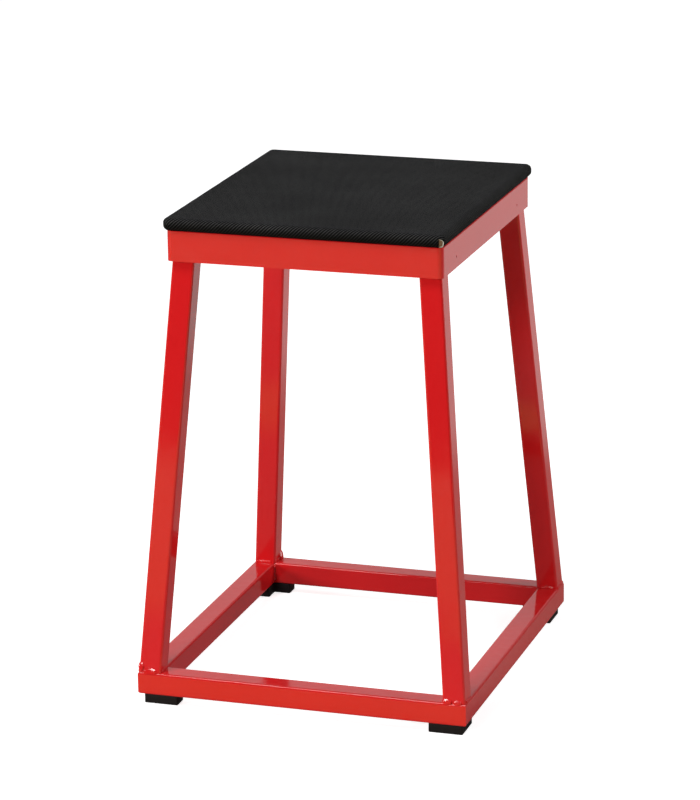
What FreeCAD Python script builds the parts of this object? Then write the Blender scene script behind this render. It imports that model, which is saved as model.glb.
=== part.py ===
import FreeCAD, Part
import math
import os

# Plyo box: a tapered stand of welded square tube with a cloth-wrapped board on top and rubber feet below.
# Lengths are in millimetres. X runs across the front, Y from the front to the back, Z up from the floor.

# Overall size
total_height = 610.0
base_width = 420.6
base_depth = 468.6
top_width = 353.0
top_depth = 403.0

# Square tube of the base ring and the legs
tube_size = 28.3
tube_wall = 2.0
tube_corner_radius = 3.0
leg_base_inset = 1.2
leg_top_side_inset = 4.0
leg_top_end_inset = 9.0

# Angle iron of the ring under the top
angle_side = 38.0
angle_thickness = 3.2
angle_corner_radius = 1.5
ring_corner_radius = 7.0
top_side_overhang = 3.6
top_end_overhang = 6.7
ring_hole_diameter = 3.0
ring_hole_drop_share = 0.64
ring_hole_place_shares = (0.15, 0.85)

# Board and the cover wrapped round it
top_thickness = 15.7
cover_thickness = 1.5
cover_edge_radius = 7.0
cover_corner_radius = 9.5
cover_hem_width = 62.0
fold_gap_height = 11.0
fold_gap_width = 6.0
fold_gap_rise_share = 0.42

# Staples that hold the hem to the board
staple_crown_length = 10.0
staple_wire_width = 1.2
staple_wire_thickness = 0.7
staple_leg_length = 8.0
staple_edge_distance = 8.0
staple_spacing = 46.0

# Screws and washers that hold the board to the ring
top_screw_head_diameter = 9.5
top_screw_head_height = 3.2
top_screw_diameter = 4.8
top_screw_grip = 14.0
screw_clearance = 0.35
top_screw_inset = 20.0
top_screw_place_shares = (0.24, 0.76)
top_washer_diameter = 13.0
top_washer_thickness = 1.2
screw_recess_width = 1.1
screw_recess_depth = 1.4
screw_recess_length_share = 0.58

# Rubber feet under the corners and their screws
foot_thickness = 13.0
foot_inset = 6.0
foot_arm_width = 21.5
foot_arm_length = 43.0
foot_corner_radius = 1.5
foot_recess_diameter = 11.5
foot_recess_depth = 5.0
foot_screw_place_share = 0.74
foot_screw_head_diameter = 8.4
foot_screw_head_height = 2.8
foot_screw_diameter = 4.2
foot_screw_end_length = 4.0
foot_washer_diameter = 10.6
foot_washer_thickness = 1.0

# Weld beads
base_bead_radius = 2.2
top_bead_radius = 2.4
corner_bead_size = 3.5
bead_end_gap = 4.0

# Every cut runs past the surface it opens by this much
cut_overrun = 2.0

ORIGIN = FreeCAD.Vector(0, 0, 0)
RIGHT = FreeCAD.Vector(1, 0, 0)
BACK = FreeCAD.Vector(0, 1, 0)
UP = FreeCAD.Vector(0, 0, 1)

# Levels and half sizes that follow from the sizes above
ring_width = top_width - 2 * top_side_overhang
ring_depth = top_depth - 2 * top_end_overhang
rail_bottom = foot_thickness
rail_top = rail_bottom + tube_size
ring_top = total_height - top_thickness
ring_bottom = ring_top - angle_side
ring_underside = ring_top - angle_thickness
board_bottom = ring_top + cover_thickness
board_thickness = top_thickness - 2 * cover_thickness

# Sides in the order that a quarter turn brings the front to them
SIDES = ("front", "right", "rear", "left")
CORNERS = {
    "front_left": (False, False),
    "front_right": (True, False),
    "rear_left": (False, True),
    "rear_right": (True, True),
}


def turned(shape, quarter_turns):
    """The shape turned about the upright axis through the origin."""
    return shape.rotated(ORIGIN, UP, 90 * quarter_turns)


def at_corner(shape, corner):
    """A shape made for the front left corner, mirrored to the named corner."""
    to_right, to_rear = CORNERS[corner]
    if to_right:
        shape = shape.mirror(ORIGIN, RIGHT)
    if to_rear:
        shape = shape.mirror(ORIGIN, BACK)
    return shape


def side_length(side, width, depth):
    """Length of one side of a ring with the given outer size."""
    return width if side in ("front", "rear") else depth


def side_setback(side, width, depth):
    """Distance from the centre to the outer face of one side of a ring."""
    return depth / 2 if side in ("front", "rear") else width / 2


def rounded_section(side, radius):
    """Square face with rounded corners, centred on the upright axis at height zero."""
    half = side / 2
    straight = half - radius
    middle = straight + radius * math.sqrt(0.5)
    start = FreeCAD.Vector(-straight, -half, 0)
    end = FreeCAD.Vector(straight, -half, 0)
    line = Part.makeLine(start, end)
    arc = Part.Arc(end, FreeCAD.Vector(middle, -middle, 0), FreeCAD.Vector(half, -straight, 0)).toShape()
    edges = []
    for quarter in range(4):
        edges.append(turned(line, quarter))
        edges.append(turned(arc, quarter))
    return Part.Face(Part.Wire(Part.__sortEdges__(edges)))


def outer_section():
    """Outer outline of the square tube."""
    return rounded_section(tube_size, tube_corner_radius)


def inner_section():
    """Hollow of the square tube."""
    return rounded_section(tube_size - 2 * tube_wall, tube_corner_radius - tube_wall)


def mitre_block(length, setback, width, low, high):
    """Block with 45 degree ends that bounds the front side of a ring."""
    half = length / 2
    inner_half = half - width
    front = -setback
    corners = [
        FreeCAD.Vector(-half, front, low),
        FreeCAD.Vector(half, front, low),
        FreeCAD.Vector(inner_half, front + width, low),
        FreeCAD.Vector(-inner_half, front + width, low),
    ]
    outline = Part.makePolygon(corners + corners[:1])
    return Part.Face(outline).extrude(UP * (high - low))


def lying(section, length, setback):
    """A tube section drawn out along the front side of the base ring."""
    bar = section.extrude(UP * length).rotated(ORIGIN, BACK, 90)
    return bar.translated(FreeCAD.Vector(-length / 2, -setback + tube_size / 2, rail_bottom + tube_size / 2))


def base_rail(side, hollow):
    """One mitred rail of the base ring, as a tube or as its filled outline."""
    length = side_length(side, base_width, base_depth)
    setback = side_setback(side, base_width, base_depth)
    rail = lying(outer_section(), length, setback)
    if hollow:
        rail = rail.cut(lying(inner_section(), length, setback))
    rail = rail.common(mitre_block(length, setback, tube_size, rail_bottom, rail_top))
    return turned(rail, SIDES.index(side))


def leg_lean():
    """Run of a leg from its foot to its top, for the front left corner."""
    rise = ring_underside - rail_top
    fixed_rise = ring_bottom - rail_top
    run_x = (base_width - ring_width) / 2 + leg_top_side_inset - leg_base_inset
    run_y = (base_depth - ring_depth) / 2 + leg_top_end_inset - leg_base_inset
    return FreeCAD.Vector(run_x * rise / fixed_rise, run_y * rise / fixed_rise, rise)


def front_left_leg(hollow):
    """Front left leg, cut level at both ends, as a tube or as its filled outline."""
    middle = leg_base_inset + tube_size / 2
    place = FreeCAD.Vector(middle - base_width / 2, middle - base_depth / 2, rail_top)
    leg = outer_section().translated(place).extrude(leg_lean())
    if hollow:
        leg = leg.cut(inner_section().translated(place).extrude(leg_lean()))
    return leg


def top_screw_places():
    """Points on the underside of the ring where the board is screwed on."""
    places = []
    for side in SIDES:
        length = side_length(side, ring_width, ring_depth)
        setback = side_setback(side, ring_width, ring_depth)
        for share in top_screw_place_shares:
            place = Part.Vertex(length * (share - 0.5), top_screw_inset - setback, ring_underside)
            places.append(turned(place, SIDES.index(side)).Point)
    return places


def ring_outline():
    """Block that fills the ring under the top, with its upright corners rounded."""
    corner = FreeCAD.Vector(-ring_width / 2, -ring_depth / 2, ring_bottom)
    block = Part.makeBox(ring_width, ring_depth, angle_side, corner)
    upright = [edge for edge in block.Edges if is_upright(edge)]
    return block.makeFillet(ring_corner_radius, upright)


def ring_side(side):
    """One mitred angle iron of the ring under the top, with its screw holes."""
    length = side_length(side, ring_width, ring_depth)
    setback = side_setback(side, ring_width, ring_depth)
    blank = mitre_block(length, setback, angle_side, ring_bottom, ring_top)
    inside = Part.makeBox(
        length,
        angle_side,
        angle_side - angle_thickness,
        FreeCAD.Vector(-length / 2, angle_thickness - setback, ring_bottom),
    )
    bar = blank.cut(inside)
    rounded = [edge for edge in bar.Edges if is_outer_top_edge(edge, length, setback)]
    bar = bar.makeFillet(angle_corner_radius, rounded)
    bar = turned(bar, SIDES.index(side)).common(ring_outline())
    hole_radius = top_screw_diameter / 2 + screw_clearance
    for place in top_screw_places():
        start = place - UP * cut_overrun
        bar = bar.cut(Part.makeCylinder(hole_radius, angle_thickness + 2 * cut_overrun, start, UP))
    if side in ("left", "right"):
        bar = bar.cut(ring_side_holes())
    return bar


def is_upright(edge):
    """True for a straight edge that runs up."""
    box = edge.BoundBox
    return box.ZLength > box.XLength + box.YLength


def is_outer_top_edge(edge, length, setback):
    """True for the long upper edge of the front face of a ring side."""
    box = edge.BoundBox
    is_long = box.XLength > length / 2
    is_high = box.ZMin > ring_top - angle_thickness / 2
    is_outer = box.YMax < angle_thickness / 2 - setback
    return is_long and is_high and is_outer


def ring_side_holes():
    """Small drilled holes through the upright faces of the left and right sides of the ring."""
    drills = []
    height = ring_top - angle_side * ring_hole_drop_share
    reach = ring_width + 2 * cut_overrun
    for share in ring_hole_place_shares:
        start = FreeCAD.Vector(-reach / 2, ring_depth * (share - 0.5), height)
        drills.append(Part.makeCylinder(ring_hole_diameter / 2, reach, start, RIGHT))
    return Part.makeCompound(drills)


def wrapped_block(width, depth, height, corner_radius, edge_radius, bottom):
    """Flat block with rounded upright corners and rounded upper and lower edges."""
    block = Part.makeBox(width, depth, height, FreeCAD.Vector(-width / 2, -depth / 2, bottom))
    upright = [edge for edge in block.Edges if is_upright(edge)]
    block = block.makeFillet(corner_radius, upright)
    flat = [edge for edge in block.Edges if not is_upright(edge)]
    return block.makeFillet(edge_radius, flat)


def staple_places():
    """Centres and quarter turns of the staples along the inner edge of the hem."""
    places = []
    for side in SIDES:
        length = side_length(side, top_width, top_depth) - 2 * cover_hem_width
        setback = side_setback(side, top_width, top_depth) - cover_hem_width + staple_edge_distance
        count = round(length / staple_spacing)
        for number in range(count):
            share = (number + 0.5) / count
            places.append((FreeCAD.Vector(length * (share - 0.5), -setback, ring_top), SIDES.index(side)))
    return places


def staple(place, quarter_turns):
    """One staple driven up through the hem, with its crown lying flat under it."""
    half_wire = staple_wire_width / 2
    left = place.x - staple_crown_length / 2
    crown = Part.makeBox(
        staple_crown_length,
        staple_wire_width,
        staple_wire_thickness,
        FreeCAD.Vector(left, place.y - half_wire, place.z - staple_wire_thickness),
    )
    far = left + staple_crown_length - staple_wire_thickness
    legs = [
        Part.makeBox(
            staple_wire_thickness,
            staple_wire_width,
            staple_leg_length,
            FreeCAD.Vector(start, place.y - half_wire, place.z),
        )
        for start in (left, far)
    ]
    return turned(crown.multiFuse(legs).removeSplitter(), quarter_turns)


def screw(place, head_diameter, head_height, diameter, grip):
    """Screw pointing up from below, with the underside of its head at the place and a cross recess."""
    head = Part.makeCylinder(head_diameter / 2, head_height, place - UP * head_height, UP)
    shank = Part.makeCylinder(diameter / 2, grip, place, UP)
    body = head.fuse(shank).removeSplitter()
    length = head_diameter * screw_recess_length_share
    low = place - UP * (head_height + cut_overrun)
    depth = screw_recess_depth + cut_overrun
    for across, along in ((length, screw_recess_width), (screw_recess_width, length)):
        corner = low - FreeCAD.Vector(across / 2, along / 2, 0)
        body = body.cut(Part.makeBox(across, along, depth, corner))
    return body


def washer(place, outer_diameter, inner_diameter, thickness):
    """Flat ring whose upper face is at the place."""
    low = place - UP * thickness
    disc = Part.makeCylinder(outer_diameter / 2, thickness, low, UP)
    return disc.cut(Part.makeCylinder(inner_diameter / 2, thickness + cut_overrun, low, UP))


def front_left_foot_screws():
    """Points at the roof of the screw recesses in the front left foot."""
    middle = foot_inset + foot_arm_width / 2
    along = foot_inset + foot_arm_length * foot_screw_place_share
    left = -base_width / 2
    front = -base_depth / 2
    return [
        FreeCAD.Vector(left + along, front + middle, foot_recess_depth),
        FreeCAD.Vector(left + middle, front + along, foot_recess_depth),
    ]


def front_left_foot():
    """L shaped rubber pad under the front left corner, with recessed screw holes."""
    left = foot_inset - base_width / 2
    front = foot_inset - base_depth / 2
    arms = [
        Part.makeBox(foot_arm_length, foot_arm_width, foot_thickness, FreeCAD.Vector(left, front, 0)),
        Part.makeBox(foot_arm_width, foot_arm_length, foot_thickness, FreeCAD.Vector(left, front, 0)),
    ]
    pad = arms[0].fuse(arms[1]).removeSplitter()
    upright = [edge for edge in pad.Edges if is_upright(edge)]
    pad = pad.makeFillet(foot_corner_radius, upright)
    for place in front_left_foot_screws():
        low = place - UP * (foot_recess_depth + cut_overrun)
        recess = Part.makeCylinder(foot_recess_diameter / 2, foot_recess_depth + cut_overrun, low, UP)
        hole = Part.makeCylinder(foot_screw_diameter / 2, foot_thickness, place, UP)
        pad = pad.cut(recess).cut(hole)
    return pad


def foot_screw_drills(corner):
    """Holes that the foot screws of one corner leave in the rails above."""
    drills = [
        Part.makeCylinder(foot_screw_diameter / 2, foot_thickness + tube_wall, place, UP)
        for place in front_left_foot_screws()
    ]
    return at_corner(Part.makeCompound(drills), corner)


def bead(start, end, radius, neighbours):
    """Weld bead along a straight joint, shaped to the pieces that it joins."""
    run = end - start
    shape = Part.makeCylinder(radius, run.Length, start, run)
    for neighbour in neighbours:
        shape = shape.cut(neighbour)
    return shape


def leg_joint_lines(low_x, low_y, height, faces):
    """Start and end points of beads along the named faces of the front left leg at one height."""
    near = bead_end_gap
    far = tube_size - bead_end_gap
    lines = {
        "front": ((near, 0), (far, 0)),
        "rear": ((near, tube_size), (far, tube_size)),
        "left": ((0, near), (0, far)),
        "right": ((tube_size, near), (tube_size, far)),
    }
    ends = []
    for face in faces:
        ends.append([FreeCAD.Vector(low_x + x, low_y + y, height) for x, y in lines[face]])
    return ends


def front_left_base_beads():
    """Beads round the foot of the front left leg."""
    left = leg_base_inset - base_width / 2
    front = leg_base_inset - base_depth / 2
    neighbours = [front_left_leg(False), base_rail("front", False), base_rail("left", False)]
    lines = leg_joint_lines(left, front, rail_top, ("front", "rear", "left", "right"))
    return [bead(start, end, base_bead_radius, neighbours) for start, end in lines]


def front_left_top_beads():
    """Beads between the inner faces of the front left leg and the underside of the ring."""
    lean = leg_lean()
    left = leg_base_inset - base_width / 2 + lean.x
    front = leg_base_inset - base_depth / 2 + lean.y
    neighbours = [front_left_leg(False), ring_side("front"), ring_side("left")]
    lines = leg_joint_lines(left, front, ring_underside, ("rear", "right"))
    return [bead(start, end, top_bead_radius, neighbours) for start, end in lines]


def front_left_corner_bead():
    """Bead in the inner upright corner of the base ring at the front left."""
    left = tube_size - base_width / 2
    front = tube_size - base_depth / 2
    low = rail_bottom + tube_corner_radius
    corners = [
        FreeCAD.Vector(left, front, low),
        FreeCAD.Vector(left + corner_bead_size, front, low),
        FreeCAD.Vector(left, front + corner_bead_size, low),
    ]
    outline = Part.makePolygon(corners + corners[:1])
    return Part.Face(outline).extrude(UP * (tube_size - 2 * tube_corner_radius))


nodes = {}

# Base ring, drilled for the foot screws
for side in SIDES:
    rail = base_rail(side, True)
    for corner in CORNERS:
        rail = rail.cut(foot_screw_drills(corner))
    nodes["base_rail_" + side] = rail

# Legs
for corner in CORNERS:
    nodes["leg_" + corner] = at_corner(front_left_leg(True), corner)

# Ring of angle iron under the top
for side in SIDES:
    nodes["apron_" + side] = ring_side(side)

# Board, with its screw and staple holes
board = wrapped_block(
    top_width - 2 * cover_thickness,
    top_depth - 2 * cover_thickness,
    board_thickness,
    cover_corner_radius - cover_thickness,
    cover_edge_radius - cover_thickness,
    board_bottom,
)
cover = wrapped_block(top_width, top_depth, top_thickness, cover_corner_radius, cover_edge_radius, ring_top)
cover = cover.cut(board)
window = Part.makeBox(
    top_width - 2 * cover_hem_width,
    top_depth - 2 * cover_hem_width,
    cover_thickness + cut_overrun,
    FreeCAD.Vector(cover_hem_width - top_width / 2, cover_hem_width - top_depth / 2, ring_top - cut_overrun),
)
cover = cover.cut(window)

# Gap left by the folded cloth at the front right corner
gap_outline = Part.Ellipse(ORIGIN, fold_gap_height / 2, fold_gap_width / 2).toShape()
gap_reach = cover_corner_radius + cut_overrun
gap = Part.Face(Part.Wire(gap_outline)).extrude(UP * gap_reach)
gap = gap.rotated(ORIGIN, BACK, 90).rotated(ORIGIN, UP, -45)
gap_height = ring_top + top_thickness * fold_gap_rise_share
gap_place = FreeCAD.Vector(
    top_width / 2 - cover_corner_radius,
    cover_corner_radius - top_depth / 2,
    gap_height,
)
cover = cover.cut(gap.translated(gap_place))

top_screws = []
top_washers = []
for place in top_screw_places():
    head_place = place - UP * top_washer_thickness
    fixing = screw(
        head_place,
        top_screw_head_diameter,
        top_screw_head_height,
        top_screw_diameter,
        top_screw_grip,
    )
    top_screws.append(fixing)
    washer_hole = top_screw_diameter + 2 * screw_clearance
    top_washers.append(washer(place, top_washer_diameter, washer_hole, top_washer_thickness))
    board = board.cut(fixing)
    cover = cover.cut(fixing)

staples = Part.makeCompound([staple(place, turns) for place, turns in staple_places()])
nodes["top_board"] = board.cut(staples)
nodes["top_cover"] = cover.cut(staples)
nodes["cover_staples"] = staples
nodes["top_screws"] = Part.makeCompound(top_screws)
nodes["top_washers"] = Part.makeCompound(top_washers)

# Feet with their screws and washers
foot_screws = []
foot_washers = []
foot_washer_hole = foot_screw_diameter + 2 * screw_clearance
foot_screw_grip = foot_washer_thickness + foot_thickness - foot_recess_depth + foot_screw_end_length
for corner in CORNERS:
    nodes["foot_" + corner] = at_corner(front_left_foot(), corner)
    for place in front_left_foot_screws():
        head_place = place - UP * foot_washer_thickness
        fixing = screw(
            head_place,
            foot_screw_head_diameter,
            foot_screw_head_height,
            foot_screw_diameter,
            foot_screw_grip,
        )
        ring = washer(place, foot_washer_diameter, foot_washer_hole, foot_washer_thickness)
        foot_screws.append(at_corner(fixing, corner))
        foot_washers.append(at_corner(ring, corner))
nodes["foot_screws"] = Part.makeCompound(foot_screws)
nodes["foot_washers"] = Part.makeCompound(foot_washers)

# Weld beads
base_beads = []
top_beads = []
corner_beads = []
for corner in CORNERS:
    base_beads += [at_corner(shape, corner) for shape in front_left_base_beads()]
    top_beads += [at_corner(shape, corner) for shape in front_left_top_beads()]
    corner_beads.append(at_corner(front_left_corner_bead(), corner))
nodes["leg_base_welds"] = Part.makeCompound(base_beads)
nodes["leg_top_welds"] = Part.makeCompound(top_beads)
nodes["base_corner_welds"] = Part.makeCompound(corner_beads)

os.makedirs("parts", exist_ok=True)
for name, shape in nodes.items():
    shape.exportStep("parts/" + name + ".step")
    print(name, len(shape.Solids), round(shape.Volume, 1), shape.isValid())
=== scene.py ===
"""Plyo box: paint, cloth, welds, fixings, rubber feet and a plain studio round the solids."""

import logging
import math
from contextlib import contextmanager
from dataclasses import dataclass
from enum import Enum
from typing import Any, Callable, Iterable, Iterator, Optional, Sequence, Union

import bmesh
import bpy
import numpy as np
from mathutils import Matrix, Vector, noise


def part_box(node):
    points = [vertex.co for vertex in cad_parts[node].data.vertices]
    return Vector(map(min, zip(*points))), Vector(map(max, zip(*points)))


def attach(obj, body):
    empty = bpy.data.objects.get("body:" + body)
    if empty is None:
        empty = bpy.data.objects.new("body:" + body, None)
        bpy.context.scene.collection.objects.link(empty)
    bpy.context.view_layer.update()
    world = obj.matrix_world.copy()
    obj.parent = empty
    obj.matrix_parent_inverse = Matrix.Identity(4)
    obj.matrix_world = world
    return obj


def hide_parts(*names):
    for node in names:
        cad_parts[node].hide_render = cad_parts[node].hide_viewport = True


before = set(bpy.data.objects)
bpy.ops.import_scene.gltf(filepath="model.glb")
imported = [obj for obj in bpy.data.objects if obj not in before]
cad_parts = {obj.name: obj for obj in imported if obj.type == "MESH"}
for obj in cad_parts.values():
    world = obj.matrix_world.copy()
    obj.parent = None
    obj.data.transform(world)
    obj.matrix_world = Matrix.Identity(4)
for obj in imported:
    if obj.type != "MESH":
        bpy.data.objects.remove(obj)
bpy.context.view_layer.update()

BODY = "root"
MM = 0.001
SAME_PLACE = 1e-6
QUARTER_TURN = math.pi / 2
IMAGE_LONG_SIDE = 800
LOG = logging.getLogger("plyo_box")

Colour = tuple[float, float, float, float]
Point = tuple[float, float, float]
Flat = tuple[float, float]
Span = tuple[float, float]
Pair = tuple[float, float]
Wave = tuple[float, ...]
Socket = bpy.types.NodeSocket
Term = Union[float, Socket]
Tint = Union[Colour, Socket]

BLACK: Colour = (0.0, 0.0, 0.0, 1.0)
WHITE: Colour = (1.0, 1.0, 1.0, 1.0)


class Slot(Enum):
    """Names of material slots, passed along with the new pieces."""

    PAINT = "frame_paint"
    CLOTH = "cover_cloth"
    RUBBER = "foot_rubber"
    STEEL = "fixing_steel"


class Labelled(Enum):
    """A choice with a label as the solids spell it."""

    @property
    def label(self) -> str:
        """Name of the choice in small letters."""
        return self.name.lower()


class Corner(Labelled):
    """Corners of the stand, as signs along X and Y."""

    FRONT_LEFT = (-1, -1)
    FRONT_RIGHT = (1, -1)
    REAR_LEFT = (-1, 1)
    REAR_RIGHT = (1, 1)


class Side(Labelled):
    """Sides of the stand, as the axis that they face along and their sign on it."""

    FRONT = (1, -1)
    RIGHT = (0, 1)
    REAR = (1, 1)
    LEFT = (0, -1)


class LegFace(Enum):
    """Faces of a leg, as the axis that they face along and whether they face out."""

    END_OUTER = (1, True)
    END_INNER = (1, False)
    SIDE_OUTER = (0, True)
    SIDE_INNER = (0, False)


class Graph:
    """Adds and joins the nodes of one tree."""

    def __init__(self, tree: bpy.types.NodeTree) -> None:
        """Keep the tree that the nodes go into."""
        self.tree = tree

    def add(self, kind: str, values: Optional[dict] = None, **settings: Any) -> bpy.types.Node:
        """Add one node.

        Args:
            kind: Type name of the node.
            values: Input name or index to a constant or to an output that it is joined to.
            settings: Attributes of the node itself.

        Returns:
            The new node.
        """
        node = self.tree.nodes.new(kind)
        for name, value in settings.items():
            setattr(node, name, value)
        for key, value in (values or {}).items():
            self.put(node.inputs[key], value)
        return node

    def put(self, socket: Socket, value: Any) -> None:
        """Join an output to a socket, or set its constant.

        Args:
            socket: Input that takes the value.
            value: Output of another node, or a constant.
        """
        if isinstance(value, bpy.types.NodeSocket):
            self.tree.links.new(value, socket)
        else:
            socket.default_value = value

    def math(self, operation: str, *terms: Term) -> Socket:
        """Result of one Math node on the given terms."""
        return self.add("ShaderNodeMath", dict(enumerate(terms)), operation=operation).outputs[0]

    def product(self, first: Term, *others: Term) -> Socket:
        """Product of all the terms.

        Args:
            first: First term.
            others: The terms that it is multiplied by in turn.

        Returns:
            The product.
        """
        for other in others:
            first = self.math("MULTIPLY", first, other)
        return first

    def weigh(self, first: Socket, second: Socket, share: float) -> Socket:
        """Mean of two values, in which the first has the given share."""
        return self.math("MULTIPLY_ADD", first, share, self.math("MULTIPLY", second, 1.0 - share))

    def spread(self, value: Socket, low: float, high: float) -> Socket:
        """A share from 0 to 1 mapped to the range from low to high."""
        values = {"Value": value, "To Min": low, "To Max": high}
        return self.add("ShaderNodeMapRange", values).outputs["Result"]

    def ease(self, value: Socket, span: Span, low: float = 0.0, high: float = 1.0) -> Socket:
        """A value that eases from low to high.

        Args:
            value: What it follows.
            span: Where on that value the change starts and ends.
            low: Result before the span.
            high: Result after the span.

        Returns:
            The eased value.
        """
        start, end = span
        values = {"Value": value, "From Min": start, "From Max": end, "To Min": low, "To Max": high}
        node = self.add("ShaderNodeMapRange", values, interpolation_type="SMOOTHSTEP")
        return node.outputs["Result"]

    def blend(self, share: Socket, first: Tint, second: Tint) -> Socket:
        """Colour between two colours by a share."""
        values = {0: share, 6: first, 7: second}
        return self.add("ShaderNodeMix", values, data_type="RGBA").outputs[2]

    def noise(self, vector: Socket, scale: Term, detail: Term) -> Socket:
        """Soft noise at a vector, from about 0 to 1."""
        values = {"Vector": vector, "Scale": scale, "Detail": detail}
        return self.add("ShaderNodeTexNoise", values).outputs["Fac"]


class SharedEffects:
    """Shader node groups that more than one finish uses, each built once."""

    fine_detail: float = 2.0
    slow_detail: float = 1.0
    dust_detail: float = 5.0
    dust_power: float = 2.0
    twill_repeat: float = 4.0
    warp_limit: float = 1.5
    float_dip: float = 0.45

    def __init__(self) -> None:
        """Start with no group made."""
        self._made: dict[str, bpy.types.NodeTree] = {}

    def _group(self, name: str, inputs: dict[str, float], outputs: Sequence[str],
               fill: Callable[[Graph, Any, Any], None]) -> bpy.types.NodeTree:
        """A group by its name, made when it is first asked for.

        Args:
            name: Name of the group.
            inputs: Label and default of each value input, which follow the vector.
            outputs: Labels of the value outputs.
            fill: Joins the nodes between the group's own inputs and outputs.

        Returns:
            The group.
        """
        if name not in self._made:
            tree = bpy.data.node_groups.new(name, "ShaderNodeTree")
            open_socket = tree.interface.new_socket
            open_socket("Vector", in_out="INPUT", socket_type="NodeSocketVector")
            for label, default in inputs.items():
                socket = open_socket(label, in_out="INPUT", socket_type="NodeSocketFloat")
                socket.default_value = default
            for label in outputs:
                open_socket(label, in_out="OUTPUT", socket_type="NodeSocketFloat")
            graph = Graph(tree)
            source, sink = graph.add("NodeGroupInput"), graph.add("NodeGroupOutput")
            fill(graph, source.outputs, sink.inputs)
            self._made[name] = tree
        return self._made[name]

    def cloud(self) -> bpy.types.NodeTree:
        """Soft uneven patches, as a share from 0 to 1."""
        inputs = {"Scale": 10.0, "Detail": 3.0, "Contrast": 1.6}
        return self._group("cloud", inputs, ["Share"], self._fill_cloud)

    @staticmethod
    def _fill_cloud(graph: Graph, source: Any, sink: Any) -> None:
        """Noise with its contrast raised about the middle.

        Args:
            graph: Graph of the group.
            source: The group's own inputs.
            sink: The group's own outputs.
        """
        patches = graph.noise(source["Vector"], source["Scale"], source["Detail"])
        centred = graph.math("SUBTRACT", patches, 0.5)
        scaled = graph.math("MULTIPLY_ADD", centred, source["Contrast"], 0.5)
        graph.put(sink["Share"], graph.add("ShaderNodeClamp", {"Value": scaled}).outputs[0])

    def grain(self) -> bpy.types.NodeTree:
        """Fine surface grain over slow waviness, as a height in shares."""
        inputs = {"Fine Scale": 600.0, "Slow Scale": 40.0, "Slow Share": 0.5}
        return self._group("grain", inputs, ["Height"], self._fill_grain)

    def _fill_grain(self, graph: Graph, source: Any, sink: Any) -> None:
        """Fine noise with a share of slow noise added.

        Args:
            graph: Graph of the group.
            source: The group's own inputs.
            sink: The group's own outputs.
        """
        fine = graph.noise(source["Vector"], source["Fine Scale"], self.fine_detail)
        slow = graph.noise(source["Vector"], source["Slow Scale"], self.slow_detail)
        graph.put(sink["Height"], graph.math("MULTIPLY_ADD", slow, source["Slow Share"], fine))

    def dust(self) -> bpy.types.NodeTree:
        """Thin dust that settles on faces that look up, as a mask."""
        return self._group("dust", {"Scale": 60.0, "Amount": 0.3}, ["Mask"], self._fill_dust)

    def _fill_dust(self, graph: Graph, source: Any, sink: Any) -> None:
        """Uneven patches, more where the face looks up.

        Args:
            graph: Graph of the group.
            source: The group's own inputs.
            sink: The group's own outputs.
        """
        normal = graph.add("ShaderNodeNewGeometry").outputs["Normal"]
        rise = graph.add("ShaderNodeSeparateXYZ", {0: normal}).outputs["Z"]
        level = graph.add("ShaderNodeClamp", {"Value": rise}).outputs[0]
        patches = graph.noise(source["Vector"], source["Scale"], self.dust_detail)
        settled = graph.math("POWER", patches, self.dust_power)
        graph.put(sink["Mask"], graph.product(settled, source["Amount"], level))

    def twill(self) -> bpy.types.NodeTree:
        """Two-over-two twill from flat cloth places: yarn height and which yarn lies on top."""
        return self._group("twill", {"Yarn": 0.9 * MM}, ["Height", "Warp"], self._fill_twill)

    def _fill_twill(self, graph: Graph, source: Any, sink: Any) -> None:
        """Warp and weft yarns that each float over two others, one step on in each row.

        Args:
            graph: Graph of the group.
            source: The group's own inputs.
            sink: The group's own outputs.
        """
        split = graph.add("ShaderNodeSeparateXYZ", {0: source["Vector"]}).outputs
        across = graph.math("DIVIDE", split["X"], source["Yarn"])
        along = graph.math("DIVIDE", split["Y"], source["Yarn"])
        step = graph.math("SUBTRACT", graph.math("FLOOR", across), graph.math("FLOOR", along))
        turn = graph.math("FLOORED_MODULO", step, self.twill_repeat)
        warp = graph.math("LESS_THAN", turn, self.warp_limit)
        over_weft = self._float_height(graph, across, along, graph.math("SUBTRACT", 1.0, turn))
        over_warp = self._float_height(graph, along, across, graph.math("SUBTRACT", turn, 2.0))
        height = graph.add("ShaderNodeMix", {0: warp, 2: over_warp, 3: over_weft}).outputs[0]
        graph.put(sink["Height"], height)
        graph.put(sink["Warp"], warp)

    def _float_height(self, graph: Graph, over: Socket, run: Socket, half: Socket) -> Socket:
        """Height of a yarn that floats over two others.

        Args:
            graph: Graph of the twill group.
            over: Coordinate across the yarn, in yarns.
            run: Coordinate along the yarn, in yarns.
            half: 0 on the first half of the float and 1 on the second.

        Returns:
            The height, from 0 at the yarn's edge to 1 on its crown.
        """
        side = graph.math("MULTIPLY_ADD", graph.math("FRACT", over), 2.0, -1.0)
        place = graph.math("SUBTRACT", graph.math("ADD", graph.math("FRACT", run), half), 1.0)
        round_share, arch = (
            graph.math("SUBTRACT", 1.0, graph.math("MULTIPLY", off, off)) for off in (side, place)
        )
        dipped = graph.math("MULTIPLY_ADD", arch, self.float_dip, 1.0 - self.float_dip)
        return graph.math("MULTIPLY", round_share, dipped)


@dataclass(frozen=True)
class Cloud:
    """Soft patches of a finish: how fine, how detailed and how strong."""

    scale: float
    detail: float
    contrast: float = 1.6


@dataclass(frozen=True)
class Grain:
    """Fine grain of a finish over slow waviness, with its depth in metres."""

    fine: float
    slow: float
    depth: float
    slow_share: float = 0.5


@dataclass(frozen=True)
class Dust:
    """Thin dust on the faces of a finish that look up."""

    scale: float
    amount: float
    colour: Colour


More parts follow.
